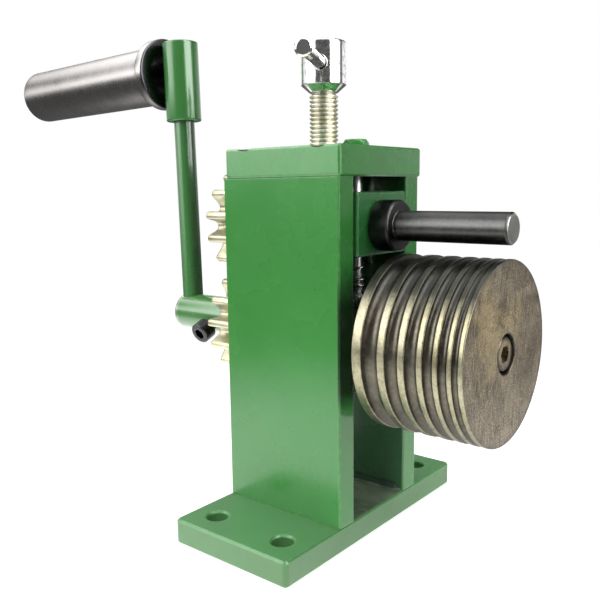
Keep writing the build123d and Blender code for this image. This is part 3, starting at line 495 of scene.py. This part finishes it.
def roller_material(name="roller_skin", screw=False):
    """Oiled brown steel: dark grooves, pale rubbed ridges, a mottled, brushed end face with a gold patch.
    With screw it is the sunk head in that face."""
    material, tree, shader, place = start_material(name)
    rings = use_group(tree, TURNING, place, Fineness=2600.0, Centre=(0.0, 0.0, LOWER_Z * MM), Along=ALONG_Y)
    radius = rings.outputs["Radius"]
    cloud = noise(tree, place, 60.0, 7.0, 0.72, 0.8)
    fine = noise(tree, place, 520.0, 5.0, 0.7)
    drift = noise(tree, place, 75.0, 4.0, 0.65)
    grain = noise(tree, place, 1500.0, 3.0, 0.6)
    brown = blend_colour(tree, span(tree, cloud, 0.3, 0.7), (0.046, 0.042, 0.034), (0.150, 0.135, 0.103))
    brown = blend_colour(tree, span(tree, fine, 0.48, 0.75, 0.0, 0.45), brown, (0.24, 0.22, 0.17))
    brush = noise(tree, stretch(tree, place, (1.0, 1.0, 0.14)), 1500.0, 4.0, 0.7)
    sweep = noise(tree, stretch(tree, place, (0.6, 1.0, 0.20)), 640.0, 5.0, 0.72, 0.2)
    plain = blend_colour(tree, span(tree, cloud, 0.36, 0.62), (0.088, 0.070, 0.053), (0.26, 0.218, 0.170))
    station, height = parts(tree, place)[1:]
    away = vector_node(tree, "DISTANCE", place, (-0.011, -0.08465, 0.091))
    reach = plus(tree, away, times(tree, drift, 0.060))
    gold = span(tree, reach, 0.036, 0.052, 1.0, 0.12)
    gold = times(tree, gold, span(tree, fine, 0.34, 0.56, 0.30, 1.0))
    gold = times(tree, gold, span(tree, rings.outputs["Face"], 0.35, 0.60, 1.0, 0.6))
    face_tone = blend_colour(tree, gold, plain, (0.66, 0.52, 0.25))
    face_tone = blend_colour(tree, span(tree, brush, 0.50, 0.64, 0.0, 0.72), face_tone, (0.52, 0.46, 0.36))
    face_tone = blend_colour(tree, span(tree, sweep, 0.52, 0.64, 0.0, 0.60), face_tone, (0.055, 0.043, 0.032))
    face_tone = blend_colour(tree, span(tree, rings.outputs["Face"], 0.50, 0.66, 0.0, 0.40), face_tone,
                             (0.060, 0.050, 0.040))
    face_tone = blend_colour(tree, span(tree, grain, 0.54, 0.64, 0.0, 0.60), face_tone, (0.040, 0.033, 0.026))
    face_tone = blend_colour(tree, span(tree, grain, 0.46, 0.34, 0.0, 0.45), face_tone, (0.60, 0.53, 0.38))
    rim = span(tree, radius, 0.0322, 0.0346, 0.0, 0.45)
    face_tone = blend_colour(tree, rim, face_tone, (0.070, 0.066, 0.058))
    geometry = add(tree, "ShaderNodeNewGeometry")
    facing = math_node(tree, "ABSOLUTE", parts(tree, geometry.outputs["Normal"])[1])
    front = span(tree, station, -0.0835, -0.0830, 1.0, 0.0)
    on_face = times(tree, span(tree, facing, 0.93, 0.99), front)
    if screw:
        tone = blend_colour(tree, span(tree, radius, 0.0045, 0.0064), face_tone, (0.060, 0.048, 0.036))
    else:
        tone = brown
        crest = span(tree, radius, 0.03455, 0.03493)
        rubbed = span(tree, fine, 0.22, 0.52, 0.30, 1.0)
        crest = times(tree, crest, rubbed)
        crest = times(tree, crest, span(tree, grain, 0.56, 0.64, 1.0, 0.45))
        pale = blend_colour(tree, span(tree, cloud, 0.35, 0.6), (0.26, 0.235, 0.135), (0.40, 0.375, 0.26))
        tone = blend_colour(tree, crest, tone, pale)
        # Painted shade: the roller's top, under the press pin, is darkened nearly to black, standing in for
        # the pin's shadow and dark reflection.
        ragged = plus(tree, height, times(tree, fine, 0.010))
        film = span(tree, ragged, 0.1035, 0.1130, 0.0, 0.92)
        tone = blend_colour(tree, film, tone, (0.020, 0.021, 0.019))
        # Painted shade: the roller's lower part is darkened towards the bottom.
        low = span(tree, ragged, 0.054, 0.074, 0.45, 0.0)
        tone = blend_colour(tree, low, tone, (0.050, 0.046, 0.038))
        tone = blend_colour(tree, on_face, tone, face_tone)
    rough = plus(tree, span(tree, cloud, 0.3, 0.7, 0.28, 0.44), times(tree, on_face, 0.12))
    marks = plus(tree, rings.outputs["Face"], rings.outputs["Side"])
    normal = bump(tree, marks, 0.30, 0.00006)
    normal = bump(tree, fine, 0.35, 0.00006, normal)
    normal = bump(tree, brush, 0.20, 0.00004, normal)
    dress(tree, shader, tone, rough, normal, 0.85)
    return material


def plated_material(name, base, stain, roughness):
    """Bright plating with a faint stained film."""
    material, tree, shader, place = start_material(name)
    edges = use_group(tree, EDGES, place, Break=0.2)
    film = noise(tree, place, 120.0, 5.0, 0.65)
    tone = blend_colour(tree, span(tree, film, 0.48, 0.72, 0.0, 0.6), base, stain)
    smear = noise(tree, place, 300.0, 4.0, 0.6)
    rough = span(tree, smear, 0.3, 0.7, roughness * 0.8, roughness * 1.4)
    dress(tree, shader, tone, rough, bump(tree, smear, 0.14, 0.00003, edges.outputs["Normal"]), 1.0)
    return material


def screw_material():
    """Bright chrome on the head and the taper, warm stained plating on the thread."""
    material, tree, shader, place = start_material("screw_plating")
    edges = use_group(tree, EDGES, place, Break=0.2)
    across, station, height = parts(tree, place)
    thread = span(tree, height, 0.1840, 0.1845, 1.0, 0.0)
    reach = add(tree, "ShaderNodeCombineXYZ")
    join(tree, across, reach.inputs[0])
    join(tree, plus(tree, station, 0.0014), reach.inputs[1])
    radius = vector_node(tree, "LENGTH", reach.outputs[0])
    film = noise(tree, place, 180.0, 5.0, 0.65)
    warm = blend_colour(tree, span(tree, film, 0.35, 0.65), (0.80, 0.77, 0.67), (0.60, 0.55, 0.42))
    root = span(tree, radius, 0.0050, 0.0057, 0.60, 0.0)
    warm = blend_colour(tree, root, warm, (0.16, 0.13, 0.09))
    fresh, hazy = (0.86, 0.86, 0.85), (0.68, 0.68, 0.64)
    bright = blend_colour(tree, span(tree, film, 0.5, 0.75, 0.0, 0.35), fresh, hazy)
    grain = noise(tree, place, 620.0, 4.0, 0.7)
    bright = blend_colour(tree, span(tree, grain, 0.46, 0.60, 0.0, 0.75), bright, (0.36, 0.36, 0.35))
    smear = noise(tree, place, 340.0, 4.0, 0.6)
    rough = plus(tree, span(tree, smear, 0.3, 0.7, 0.07, 0.14), times(tree, thread, 0.33))
    dress(tree, shader, blend_colour(tree, thread, bright, warm), rough,
          bump(tree, smear, 0.14, 0.00003, edges.outputs["Normal"]), 1.0)
    return material


def bolt_material():
    """Guide bolt: plated shank in the opening, head painted over with the frame."""
    material, tree, shader, place = start_material("guide_bolt_finish")
    edges = use_group(tree, EDGES, place, Break=0.4)
    coat = use_group(tree, ENAMEL, place, Paint=PAINT)
    join(tree, edges.outputs["Edge"], coat.inputs["Edge"])
    join(tree, edges.outputs["Normal"], coat.inputs["Normal"])
    painted = span(tree, parts(tree, place)[2], 0.1613, 0.1614)
    film = noise(tree, place, 240.0, 4.0, 0.6)
    shank = blend_colour(tree, span(tree, film, 0.3, 0.7), (0.86, 0.86, 0.84), (0.66, 0.65, 0.61))
    tone = blend_colour(tree, painted, shank, coat.outputs["Color"])
    dress(tree, shader, tone, span(tree, film, 0.3, 0.7, 0.28, 0.40), coat.outputs["Normal"],
          math_node(tree, "SUBTRACT", 1.0, painted))
    return material


# ---------------------------------------------------------------- mesh helpers

def place_object(name, data):
    """New object with its mesh, lamp or camera, linked to the scene."""
    thing = bpy.data.objects.new(name, data)
    bpy.context.scene.collection.objects.link(thing)
    return thing


def make_mesh(name, points, faces, material, body=None):
    """Smooth object from points in millimetres with its material and slot; it rides on the body, if any."""
    mesh = bpy.data.meshes.new(name)
    mesh.from_pydata((np.asarray(points) * MM).tolist(), [], faces)
    mesh.update()
    mesh.polygons.foreach_set("use_smooth", [True] * len(mesh.polygons))
    thing = place_object(name, mesh)
    mesh.materials.append(material)
    if body:
        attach(thing, body)
    return thing


def gather(pieces):
    """Points and faces of several closed surfaces, each in one list."""
    all_points, all_faces = [], []
    for points, faces in pieces:
        start = sum(len(part) for part in all_points)
        all_faces += [tuple(number + start for number in face) for face in faces]
        all_points.append(points)
    return np.concatenate(all_points), all_faces


def frame_from(origin, along):
    """Rows of the axes (side, other side, along) and the origin of a turned piece."""
    z_axis = np.array(along, float)
    z_axis /= np.linalg.norm(z_axis)
    helper = np.array((1.0, 0.0, 0.0)) if abs(z_axis[0]) < 0.9 else np.array((0.0, 1.0, 0.0))
    x_axis = np.cross(helper, z_axis)
    x_axis /= np.linalg.norm(x_axis)
    y_axis = np.cross(z_axis, x_axis)
    return np.array((x_axis, y_axis, z_axis)), np.array(origin, float)


def outward(points, faces):
    """Faces of a closed surface turned so that their normals point out."""
    points = np.asarray(points, float)
    volume = 0.0
    for face in faces:
        fan = points[list(face)]
        for step in range(1, len(face) - 1):
            volume += np.dot(fan[0], np.cross(fan[step], fan[step + 1]))
    return faces if volume > 0.0 else [face[::-1] for face in faces]


def sheet_faces(rows, columns, loop=False):
    """Quads between rows of points that each close on themselves; loop joins the last row to the first,
    and without it the two end rows become faces."""
    index = np.arange(rows * columns).reshape(rows, columns)
    if loop:
        index = np.vstack([index, index[:1]])
    beside = np.roll(index, -1, axis=1)
    quads = np.stack([index[:-1], beside[:-1], beside[1:], index[1:]], axis=-1).reshape(-1, 4)
    faces = [tuple(quad) for quad in quads.tolist()]
    if not loop:
        faces.append(tuple(index[0][::-1].tolist()))
        faces.append(tuple(index[-1].tolist()))
    return faces


def lathe_piece(profile, origin, along, segments, loop=False, shake=None):
    """Turned closed surface from (radius, height) rows: x = r cos t, y = r sin t, z = height, where shake
    adds to r."""
    axes, start = frame_from(origin, along)
    profile = np.asarray(profile, float)
    turn = np.linspace(0.0, 2.0 * math.pi, segments, endpoint=False)
    radius, height = (np.repeat(profile[:, column, None], segments, axis=1) for column in (0, 1))
    if shake is not None:
        radius = radius + shake(turn[None, :], radius, height)
    local = np.stack([radius * np.cos(turn), radius * np.sin(turn), height], axis=-1)
    points = local.reshape(-1, 3) @ axes + start
    return points, outward(points, sheet_faces(len(profile), segments, loop))


def rod(start, end, radius, radii, steps=5):
    """Profile of a solid rod with curved rims; its end rings are 0.001 mm in radius."""
    return rounded([(0.001, start), (radius, start), (radius, end), (0.001, end)], radii, steps)


def rounded(profile, radii, steps=5):
    """Profile with each inner corner replaced by a short curve; radii is a number or one per corner."""
    profile = [np.array(point, float) for point in profile]
    result = [profile[0]]
    for place in range(1, len(profile) - 1):
        before, here, after = profile[place - 1], profile[place], profile[place + 1]
        reach = radii[place - 1] if isinstance(radii, (list, tuple)) else radii
        reach = min(reach, 0.48 * np.linalg.norm(here - before), 0.48 * np.linalg.norm(after - here))
        first = here + (before - here) / np.linalg.norm(before - here) * reach
        last = here + (after - here) / np.linalg.norm(after - here) * reach
        for step in range(steps + 1):
            share = step / steps
            result.append((1 - share) ** 2 * first + 2 * share * (1 - share) * here + share ** 2 * last)
    result.append(profile[-1])
    return result


def paint_node(material, *names):
    """Give carried-over CAD nodes a material."""
    for name in names:
        slots = NODES[name].data.materials
        slots.clear()
        slots.append(material)


# ---------------------------------------------------------------- materials

green = enamel_material("green_paint", dirty_and_shaded=True)
green_cap = enamel_material("green_paint_cap", lean=0.078, dirty_and_shaded=True)
green_base = enamel_material("green_paint_base", (0.082, 0.262, 0.086), dullness=0.40, dirty_and_shaded=True, skirt=True)
green_weld = enamel_material("green_paint_weld", (0.040, 0.130, 0.044), 1.2, dullness=0.55, coating=0.0,
                             dirty_and_shaded=True)
green_crank = enamel_material("green_paint_crank", (0.050, 0.215, 0.050), 0.58, dullness=0.24, streaks=True)
green_arm = enamel_material("green_paint_arm", (0.050, 0.200, 0.050), 0.58, 0.09, arm=True, streaks=True)
green_hub = enamel_material("green_paint_hub", (0.085, 0.262, 0.074), 0.55, dullness=0.24, coating=0.65,
                            bare_end=True)
green_block = enamel_material("green_paint_block", (0.036, 0.205, 0.048), 0.7)
black = oiled_material("black_finish", (0.072, 0.072, 0.071), (0.17, 0.167, 0.16), 0.5, -0.0395)
black_screw = oiled_material("black_screw", (0.030, 0.030, 0.033), (0.13, 0.13, 0.13), 0.25)
steel = steel_material("bare_steel_finish", (0.62, 0.60, 0.57), (0.42, 0.40, 0.37), 0.32)
spring_steel = plated_material("spring_finish", (0.36, 0.36, 0.34), (0.20, 0.19, 0.18), 0.25)
bolt_finish = bolt_material()
bronze = steel_material("bush_finish", (0.62, 0.42, 0.22), (0.40, 0.26, 0.14), 0.4)
roller_skin = roller_material()
roller_screw_skin = roller_material("roller_screw_skin", True)
zinc = plated_material("gear_plating", (0.50, 0.48, 0.335), (0.32, 0.295, 0.195), 0.36)
chrome = plated_material("chrome_plating", (0.84, 0.84, 0.83), (0.66, 0.65, 0.62), 0.07)
screw_plating = screw_material()
grip_steel = steel_material("grip_finish", (0.350, 0.333, 0.324), (0.295, 0.28, 0.275), 0.27,
                            (0.0, 0.0856, 0.202), (0.0, 0.99987, -0.0164), 2600.0, 0.18, 0.0960)

paint_node(green, "left_side_plate", "right_side_plate", "lower_block")
paint_node(green_base, "base_plate")
paint_node(green_weld, "weld_beads")
paint_node(green_cap, "cap_plate")
paint_node(green_crank, "crank_head")
paint_node(green_arm, "crank_arm")
paint_node(green_hub, "crank_hub")
paint_node(green_block, "press_block")
paint_node(black, "press_shaft")
paint_node(black_screw, "cap_screws", "hub_screw", "grip_bolt")
paint_node(roller_screw_skin, "roller_screw")
paint_node(bronze, "lower_bushes", "upper_bushes")
paint_node(steel, "drive_shaft", "front_spacer", "rear_spacer", "roller_key", "upper_key", "lower_key",
           "gear_washer", "gear_bolt", "screw_seat")
paint_node(bolt_finish, "guide_bolt")
paint_node(spring_steel, "spring_stud", "return_springs")
paint_node(roller_skin, "grooved_roller")
paint_node(zinc, "upper_gear", "lower_gear")
paint_node(chrome, "tommy_bar")
paint_node(screw_plating, "pressure_screw")
paint_node(grip_steel, "crank_grip")


# ---------------------------------------------------------------- pieces that replace plainer solids

def make_roller():
    """Grooved roller: half-round grooves r = 35 - sqrt(g^2 - s^2) between ridges with small curved corners;
    the ridge tops are uneven by a few hundredths of a millimetre, a sum of slow waves round the turn."""
    ridges = [4.0, 3.0, 2.65, 2.2, 1.95, 1.7, 1.85]
    grooves = [7.0, 5.5, 5.0, 4.0, 3.5, 2.5, 0.0]
    full, back, front = 35.0, -39.8, -84.65
    bore, seat, hole, seat_depth, web_depth = 8.0, 7.7, 4.05, 8.6, 15.1
    rows = [(bore, back), (full - 0.7, back)]
    rows += rounded([(full - 0.7, back), (full, back), (full, back - 1.0)], 0.5)[1:-1]
    station = back
    for ridge, groove in zip(ridges, grooves):
        rows += [(full, station - ridge * share) for share in (0.3, 0.5, 0.7)]
        station -= ridge
        half = groove / 2
        if half == 0.0:
            break
        middle = station - half
        rows += [(full, station + 0.30), (full - 0.05, station + 0.09)]
        for step in range(17):
            angle = math.radians(4.0 + 172.0 * step / 16)
            rows.append((full - half * math.sin(angle), middle + half * math.cos(angle)))
        station -= groove
        rows += [(full - 0.05, station - 0.09), (full, station - 0.30)]
    rows += rounded([(full, front + 1.0), (full, front), (full - 1.0, front)], 0.55)[1:-1]
    rows += [(full * share, front) for share in (0.8, 0.6, 0.4)]
    rows += rounded([(9.0, front), (seat, front), (seat, front + 1.0)], 0.45)[1:-1]
    rows += [(seat, front + seat_depth), (hole, front + seat_depth), (hole, front + web_depth),
             (bore, front + web_depth)]

    def shake(turn, radius, height):
        waves = [np.sin(count * turn + twist * height) for count, twist in ((9, 0.8), (23, -1.7), (41, 2.3))]
        return 0.016 * sum(waves) * (radius > full - 0.06)

    points, faces = lathe_piece(rows, LOWER_AXIS, ALONG_Y, 288, True, shake)
    piece = make_mesh("roller_turned", points, faces, roller_skin, "drive")
    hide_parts("grooved_roller")


def make_grip():
    """Turned grip: a flange with curved rims, a quarter-circle cove to the barrel and a rounded far end; the
    barrel's radius wanders by 0.02 (sin(2t + 0.05h) + 0.6 sin(5t - 0.11h)) mm."""
    near, far, flange = 10.1, 120.2, 15.1
    hole, barrel, rim, recess = 4.1, 14.0, 17.0, 7.5
    rows = [(hole, near)]
    rows += rounded([(hole, near), (rim, near), (rim, flange), (15.9, flange)], [0.8, 1.1])[1:-1]
    rows += [(15.9, flange), (15.2, flange + 0.1)]
    for step in range(9):
        angle = math.radians(90.0 * step / 8)
        rows.append((barrel + 1.1 * (1 - math.sin(angle)), flange + 0.12 + 2.3 * (1 - math.cos(angle))))
    rows += [(barrel, near + reach) for reach in (12.0, 30.0, 50.0, 70.0, 90.0, 104.0)]
    rows += rounded([(barrel, far - 4.0), (barrel, far), (recess, far)], 2.4, 8)[1:-1]
    rows += rounded([(9.0, far), (recess, far), (recess, far - 2.0)], 0.3)[1:-1]
    rows += [(recess, far - 10.0), (hole, far - 10.0)]

    def shake(turn, radius, height):
        low = np.sin(2 * turn + 0.05 * height) + 0.6 * np.sin(5 * turn - 0.11 * height)
        return 0.02 * low * (radius > 13.9)

    start = (0.0, CRANK_Y + GRIP_REACH * math.sin(CRANK_LEAN), LOWER_Z + GRIP_REACH * math.cos(CRANK_LEAN))
    along = (0.0, math.cos(GRIP_DROOP), -math.sin(GRIP_DROOP))
    points, faces = lathe_piece(rows, start, along, 160, True, shake)
    piece = make_mesh("grip_turned", points, faces, grip_steel, "grip")
    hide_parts("crank_grip")


def make_crank_ends():
    """Crank head and hub: cylinders with curved rims, the hub's free end rounded by 2 mm."""
    up = (0.0, math.sin(CRANK_LEAN), math.cos(CRANK_LEAN))
    head = rod(94.3, 131.7, 8.5, [0.9, 0.9])
    points, faces = lathe_piece(head, (0.0, CRANK_Y, LOWER_Z), up, 128)
    piece = make_mesh("crank_head_turned", points, faces, green_crank, "drive")
    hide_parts("crank_head")
    hub = rod(47.5, 88.0, 9.0, [0.5, 2.2], 8)
    points, faces = lathe_piece(hub, LOWER_AXIS, ALONG_Y, 128)
    piece = make_mesh("crank_hub_turned", points, faces, green_hub, "drive")
    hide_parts("crank_hub")


def tooth_outline(angle):
    """Outline of the teeth about the origin, from (radius, half width) rows; its corners are cut twice at a
    quarter of each side so that they read as curves."""
    form = [(17.0, 3.0), (18.5, 2.2), (20.0, 2.05), (21.5, 1.95), (23.0, 1.80), (24.0, 1.5), (24.55, 0.9)]
    corners = []
    for tooth in range(TEETH):
        middle = math.radians(angle) + 2.0 * math.pi * tooth / TEETH
        for radius, half in form:
            corners.append((radius, middle - math.asin(half / radius)))
        for radius, half in reversed(form):
            corners.append((radius, middle + math.asin(half / radius)))
    line = np.array([(radius * math.cos(turn), radius * math.sin(turn)) for radius, turn in corners])
    for _ in range(2):
        after = np.roll(line, -1, axis=0)
        line = np.stack([0.75 * line + 0.25 * after, 0.25 * line + 0.75 * after], axis=1).reshape(-1, 2)
    return line


def make_gear(name, node, body, angle, front, height, bore):
    """Gear: each ring of points is the tooth outline moved in by an edge curve, from bore to bore over both
    faces."""
    line = tooth_outline(angle)
    along = np.roll(line, -1, axis=0) - np.roll(line, 1, axis=0)
    along /= np.linalg.norm(along, axis=1)[:, None]
    inward = np.stack([-along[:, 1], along[:, 0]], axis=1)
    unit = line / np.linalg.norm(line, axis=1)[:, None]
    wide = 15.0
    edge = [(0.0, 0.95), (0.10, 0.60), (0.32, 0.28), (0.62, 0.08), (1.0, 0.0)]
    far_edge = [(wide - station, inset) for station, inset in reversed(edge)]
    rows = [(0.0, None), *edge, *far_edge, (wide, None)]
    points = []
    for station, inset in rows:
        flat = unit * bore if inset is None else line + inward * inset
        depth = np.full(len(flat), front + station)
        points.append(np.stack([flat[:, 0], depth, height + flat[:, 1]], axis=1))
    points = np.concatenate(points)
    faces = outward(points, sheet_faces(len(rows), len(line), True))
    piece = make_mesh(name, points, faces, zinc, body)
    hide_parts(node)


def make_springs():
    """Two springs: tubes of 1 mm wire on a helix whose first and last turns close up."""
    wire, coil, foot, tall = 0.5, 3.95, 102.52, 15.16
    turns = np.linspace(0.0, 5.2, 208)
    share = turns / turns[-1]
    rise = np.clip((share - 0.17) / 0.66, 0.0, 1.0)
    height = foot + tall * (0.045 * share + 0.955 * (0.25 * rise + 0.75 * rise * rise * (3 - 2 * rise)))
    angle = 2.0 * math.pi * turns
    centre = np.stack([coil * np.cos(angle), coil * np.sin(angle), height], axis=1)
    along = np.gradient(centre, axis=0)
    along /= np.linalg.norm(along, axis=1)[:, None]
    out = np.stack([np.cos(angle), np.sin(angle), np.zeros_like(angle)], axis=1)
    side = np.cross(along, out)
    around = np.linspace(0.0, 2.0 * math.pi, 14, endpoint=False)[:, None]
    ring = out[:, None, :] * np.cos(around) + side[:, None, :] * np.sin(around)
    tube = (centre[:, None, :] + wire * ring).reshape(-1, 3)
    faces = outward(tube, sheet_faces(len(turns), len(around)))
    points, faces = gather([(tube + (x, y, 0.0), faces) for x, y in ((14.0, -7.9), (-12.0, 9.0))])
    thing = make_mesh("springs_wound", points, faces, spring_steel)
    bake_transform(thing)
    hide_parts("return_springs")


def make_welds():
    """Four weld beads: a quarter-round in each corner whose leg swells in overlapping ripples along Y."""
    station = np.linspace(-28.6, 28.6, 300)
    across = np.linspace(0.0, 0.5 * math.pi, 11)
    beads = []
    for side in (-1.0, 1.0):
        for corner, rise in ((FOOT_TOP, 1.0), (BLOCK_BOTTOM, -1.0)):
            phase = 1.7 * side + 0.9 * rise
            ripple = np.abs(np.sin(station * 0.85 + phase)) ** 0.8
            leg = 2.5 + 0.22 * ripple + 0.25 * np.sin(station * 0.31 + phase) + 0.12 * np.sin(station * 0.83)
            leg = leg * np.clip((28.7 - np.abs(station)) / 3.0, 0.12, 1.0)
            rows = []
            for place, reach in zip(station, leg):
                bow = reach * (1.0 - 0.22 * np.sin(2.0 * across))
                ring = [(side * (HALF_OPENING - out * math.cos(turn)), place,
                         corner + rise * out * math.sin(turn)) for turn, out in zip(across, bow)]
                ring.append((side * HALF_OPENING, place, corner))
                rows.append(ring)
            points = np.array(rows).reshape(-1, 3)
            beads.append((points, outward(points, sheet_faces(len(station), len(across) + 1))))
    points, faces = gather(beads)
    piece = make_mesh("weld_runs", points, faces, green_weld, "frame")
    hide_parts("weld_beads")


make_roller()
make_grip()
make_crank_ends()
make_gear("upper_gear_cut", "upper_gear", "press_shaft", -GEAR_TURN, 31.5, UPPER_Z, 6.0)
make_gear("lower_gear_cut", "lower_gear", "drive", 180.0 / TEETH + GEAR_TURN, 32.5, LOWER_Z, 7.0)
make_springs()
make_welds()


# ---------------------------------------------------------------- camera and light

def set_camera():
    """Camera fitted to the photograph: place, direction and focal length in frame units."""
    azimuth, elevation, roll = -0.885884, 0.151894, 0.012479
    focal_pixels, picture_pixels, sensor = 729.465, 600.0, 36.0
    back = np.array((math.sin(azimuth) * math.cos(elevation), -math.cos(azimuth) * math.cos(elevation),
                     math.sin(elevation)))
    forward = -back
    right = np.cross(forward, (0.0, 0.0, 1.0))
    right /= np.linalg.norm(right)
    down = np.cross(forward, right)
    turned_right = math.cos(roll) * right + math.sin(roll) * down
    turned_down = -math.sin(roll) * right + math.cos(roll) * down
    lens = bpy.data.cameras.new("camera")
    lens.sensor_width = sensor
    lens.lens = focal_pixels / picture_pixels * sensor
    lens.clip_start = 0.01
    holder = place_object("camera", lens)
    matrix = Matrix.Identity(4)
    for row in range(3):
        matrix[row][0] = turned_right[row]
        matrix[row][1] = -turned_down[row]
        matrix[row][2] = -forward[row]
    matrix.translation = Vector((-0.249994, -0.191442, 0.145132))
    holder.matrix_world = matrix
    bpy.context.scene.camera = holder


def area_light(name, place, target, size, power):
    """Soft rectangular light aimed at a point, hidden from reflections, which show the world's panels."""
    lamp = bpy.data.lights.new(name, "AREA")
    lamp.shape = "RECTANGLE"
    lamp.size, lamp.size_y = size
    lamp.energy = power
    holder = place_object(name, lamp)
    holder.visible_glossy = False
    holder.location = place
    aim = Vector(target) - Vector(place)
    holder.rotation_euler = aim.to_track_quat("-Z", "Y").to_euler()


def band(tree, value, low, high, soft):
    """Factor that is one between low and high and fades to zero over soft on both sides."""
    rise = span(tree, value, low - soft, low + soft)
    fall = span(tree, value, high - soft, high + soft, 1.0, 0.0)
    return times(tree, rise, fall)


# Studio panels seen in reflections: (azimuths, softness, heights, softness, strength), angles in degrees.
PANELS = [
    ((126.0, 171.0), 7.0, (5.0, 52.0), 2.5, 5.6),
    ((45.0, 130.0), 8.0, (34.0, 56.0), 8.0, 3.8),
    ((-106.0, -60.0), 3.0, (2.5, 60.0), 2.0, 10.0),
    ((-35.0, 126.0), 4.0, (-0.5, 16.0), 3.0, 0.95),
    ((-57.0, -46.0), 2.0, (2.0, 60.0), 4.0, 0.4),
    ((-500.0, 500.0), 3.0, (60.0, 200.0), 5.0, 2.2),
]


def set_world():
    """White backdrop for the camera, panels in a dark room for reflections, a soft slope of light for the
    rest."""
    world = bpy.data.worlds.new("studio")
    bpy.context.scene.world = world
    world.use_nodes = True
    tree = world.node_tree
    tree.nodes.clear()
    output = add(tree, "ShaderNodeOutputWorld")
    place = add(tree, "ShaderNodeTexCoord")
    across, along, up = parts(tree, place.outputs["Generated"])
    angle = times(tree, math_node(tree, "ARCTAN2", along, across), 180.0 / math.pi)
    height = times(tree, math_node(tree, "ARCSINE", up), 180.0 / math.pi)
    value = 0.13
    for azimuths, turn_soft, heights, rise_soft, strength in PANELS:
        panel = times(tree, band(tree, angle, *azimuths, turn_soft), band(tree, height, *heights, rise_soft))
        value = plus(tree, times(tree, panel, strength), value)
    mirror = add(tree, "ShaderNodeBackground")
    join(tree, value, mirror.inputs["Strength"])
    towards = vector_node(tree, "DOT_PRODUCT", place.outputs["Generated"], (-0.87, 0.28, 0.40))
    soft = add(tree, "ShaderNodeBackground")
    join(tree, span(tree, towards, -0.7, 0.9, 0.14, 0.60), soft.inputs["Strength"])
    white = add(tree, "ShaderNodeBackground")
    white.inputs["Strength"].default_value = 1.0
    rays = add(tree, "ShaderNodeLightPath")
    for background in (mirror, soft, white):
        background.inputs["Color"].default_value = (1.0, 1.0, 1.0, 1.0)
    result = soft
    for rays_kind, background in (("Is Glossy Ray", mirror), ("Is Camera Ray", white)):
        chosen = add(tree, "ShaderNodeMixShader")
        join(tree, rays.outputs[rays_kind], chosen.inputs[0])
        join(tree, result.outputs[0], chosen.inputs[1])
        join(tree, background.outputs[0], chosen.inputs[2])
        result = chosen
    join(tree, result.outputs[0], output.inputs["Surface"])


def set_floor():
    """Pale floor: white to the camera but for a faint shadow, with a white sheet that ends beside the
    object."""
    half, drop = 1500.0, -0.2
    corners = [(-half, -half, drop), (half, -half, drop), (half, half, drop), (-half, half, drop)]
    mesh = bpy.data.meshes.new("floor")
    mesh.from_pydata((np.array(corners) * MM).tolist(), [], [(0, 1, 2, 3)])
    floor = place_object("floor", mesh)
    material, tree, shader, place = start_material("floor_card")
    near = span(tree, vector_node(tree, "LENGTH", place), 0.20, 0.36, 1.0, 0.0)
    rays = add(tree, "ShaderNodeLightPath")
    camera = times(tree, rays.outputs["Is Camera Ray"], span(tree, near, 0.0, 1.0, 1.0, 0.72))
    behind = vector_node(tree, "DOT_PRODUCT", place, (-0.777, 0.629, 0.0))
    sheet = times(tree, near, span(tree, behind, -0.05, 0.05, 0.55, 1.5))
    mirror = times(tree, rays.outputs["Is Glossy Ray"], plus(tree, sheet, 0.08))
    spread = times(tree, rays.outputs["Is Diffuse Ray"], span(tree, near, 0.0, 1.0, 0.10, 0.45))
    glow = math_node(tree, "MAXIMUM", camera, math_node(tree, "MAXIMUM", mirror, spread))
    join(tree, glow, shader.inputs["Emission Strength"])
    join(tree, blend_colour(tree, near, (0.08, 0.08, 0.08), (0.85, 0.85, 0.85)), shader.inputs["Base Color"])
    shader.inputs["Roughness"].default_value = 1.0
    shader.inputs["Specular IOR Level"].default_value = 0.0
    shader.inputs["Emission Color"].default_value = (1.0, 1.0, 1.0, 1.0)
    mesh.materials.append(material)


set_camera()
set_world()
set_floor()
area_light("key", (-0.80, 0.10, 0.62), (0.0, 0.0, 0.12), (0.6, 0.6), 4.0)
area_light("top", (0.1, -0.1, 1.1), (0.0, 0.0, 0.1), (0.8, 0.8), 4.6)
area_light("front", (0.20, -0.95, 0.30), (0.0, 0.0, 0.1), (0.5, 0.4), 1.5)
bpy.context.scene.view_settings.view_transform = "Standard"
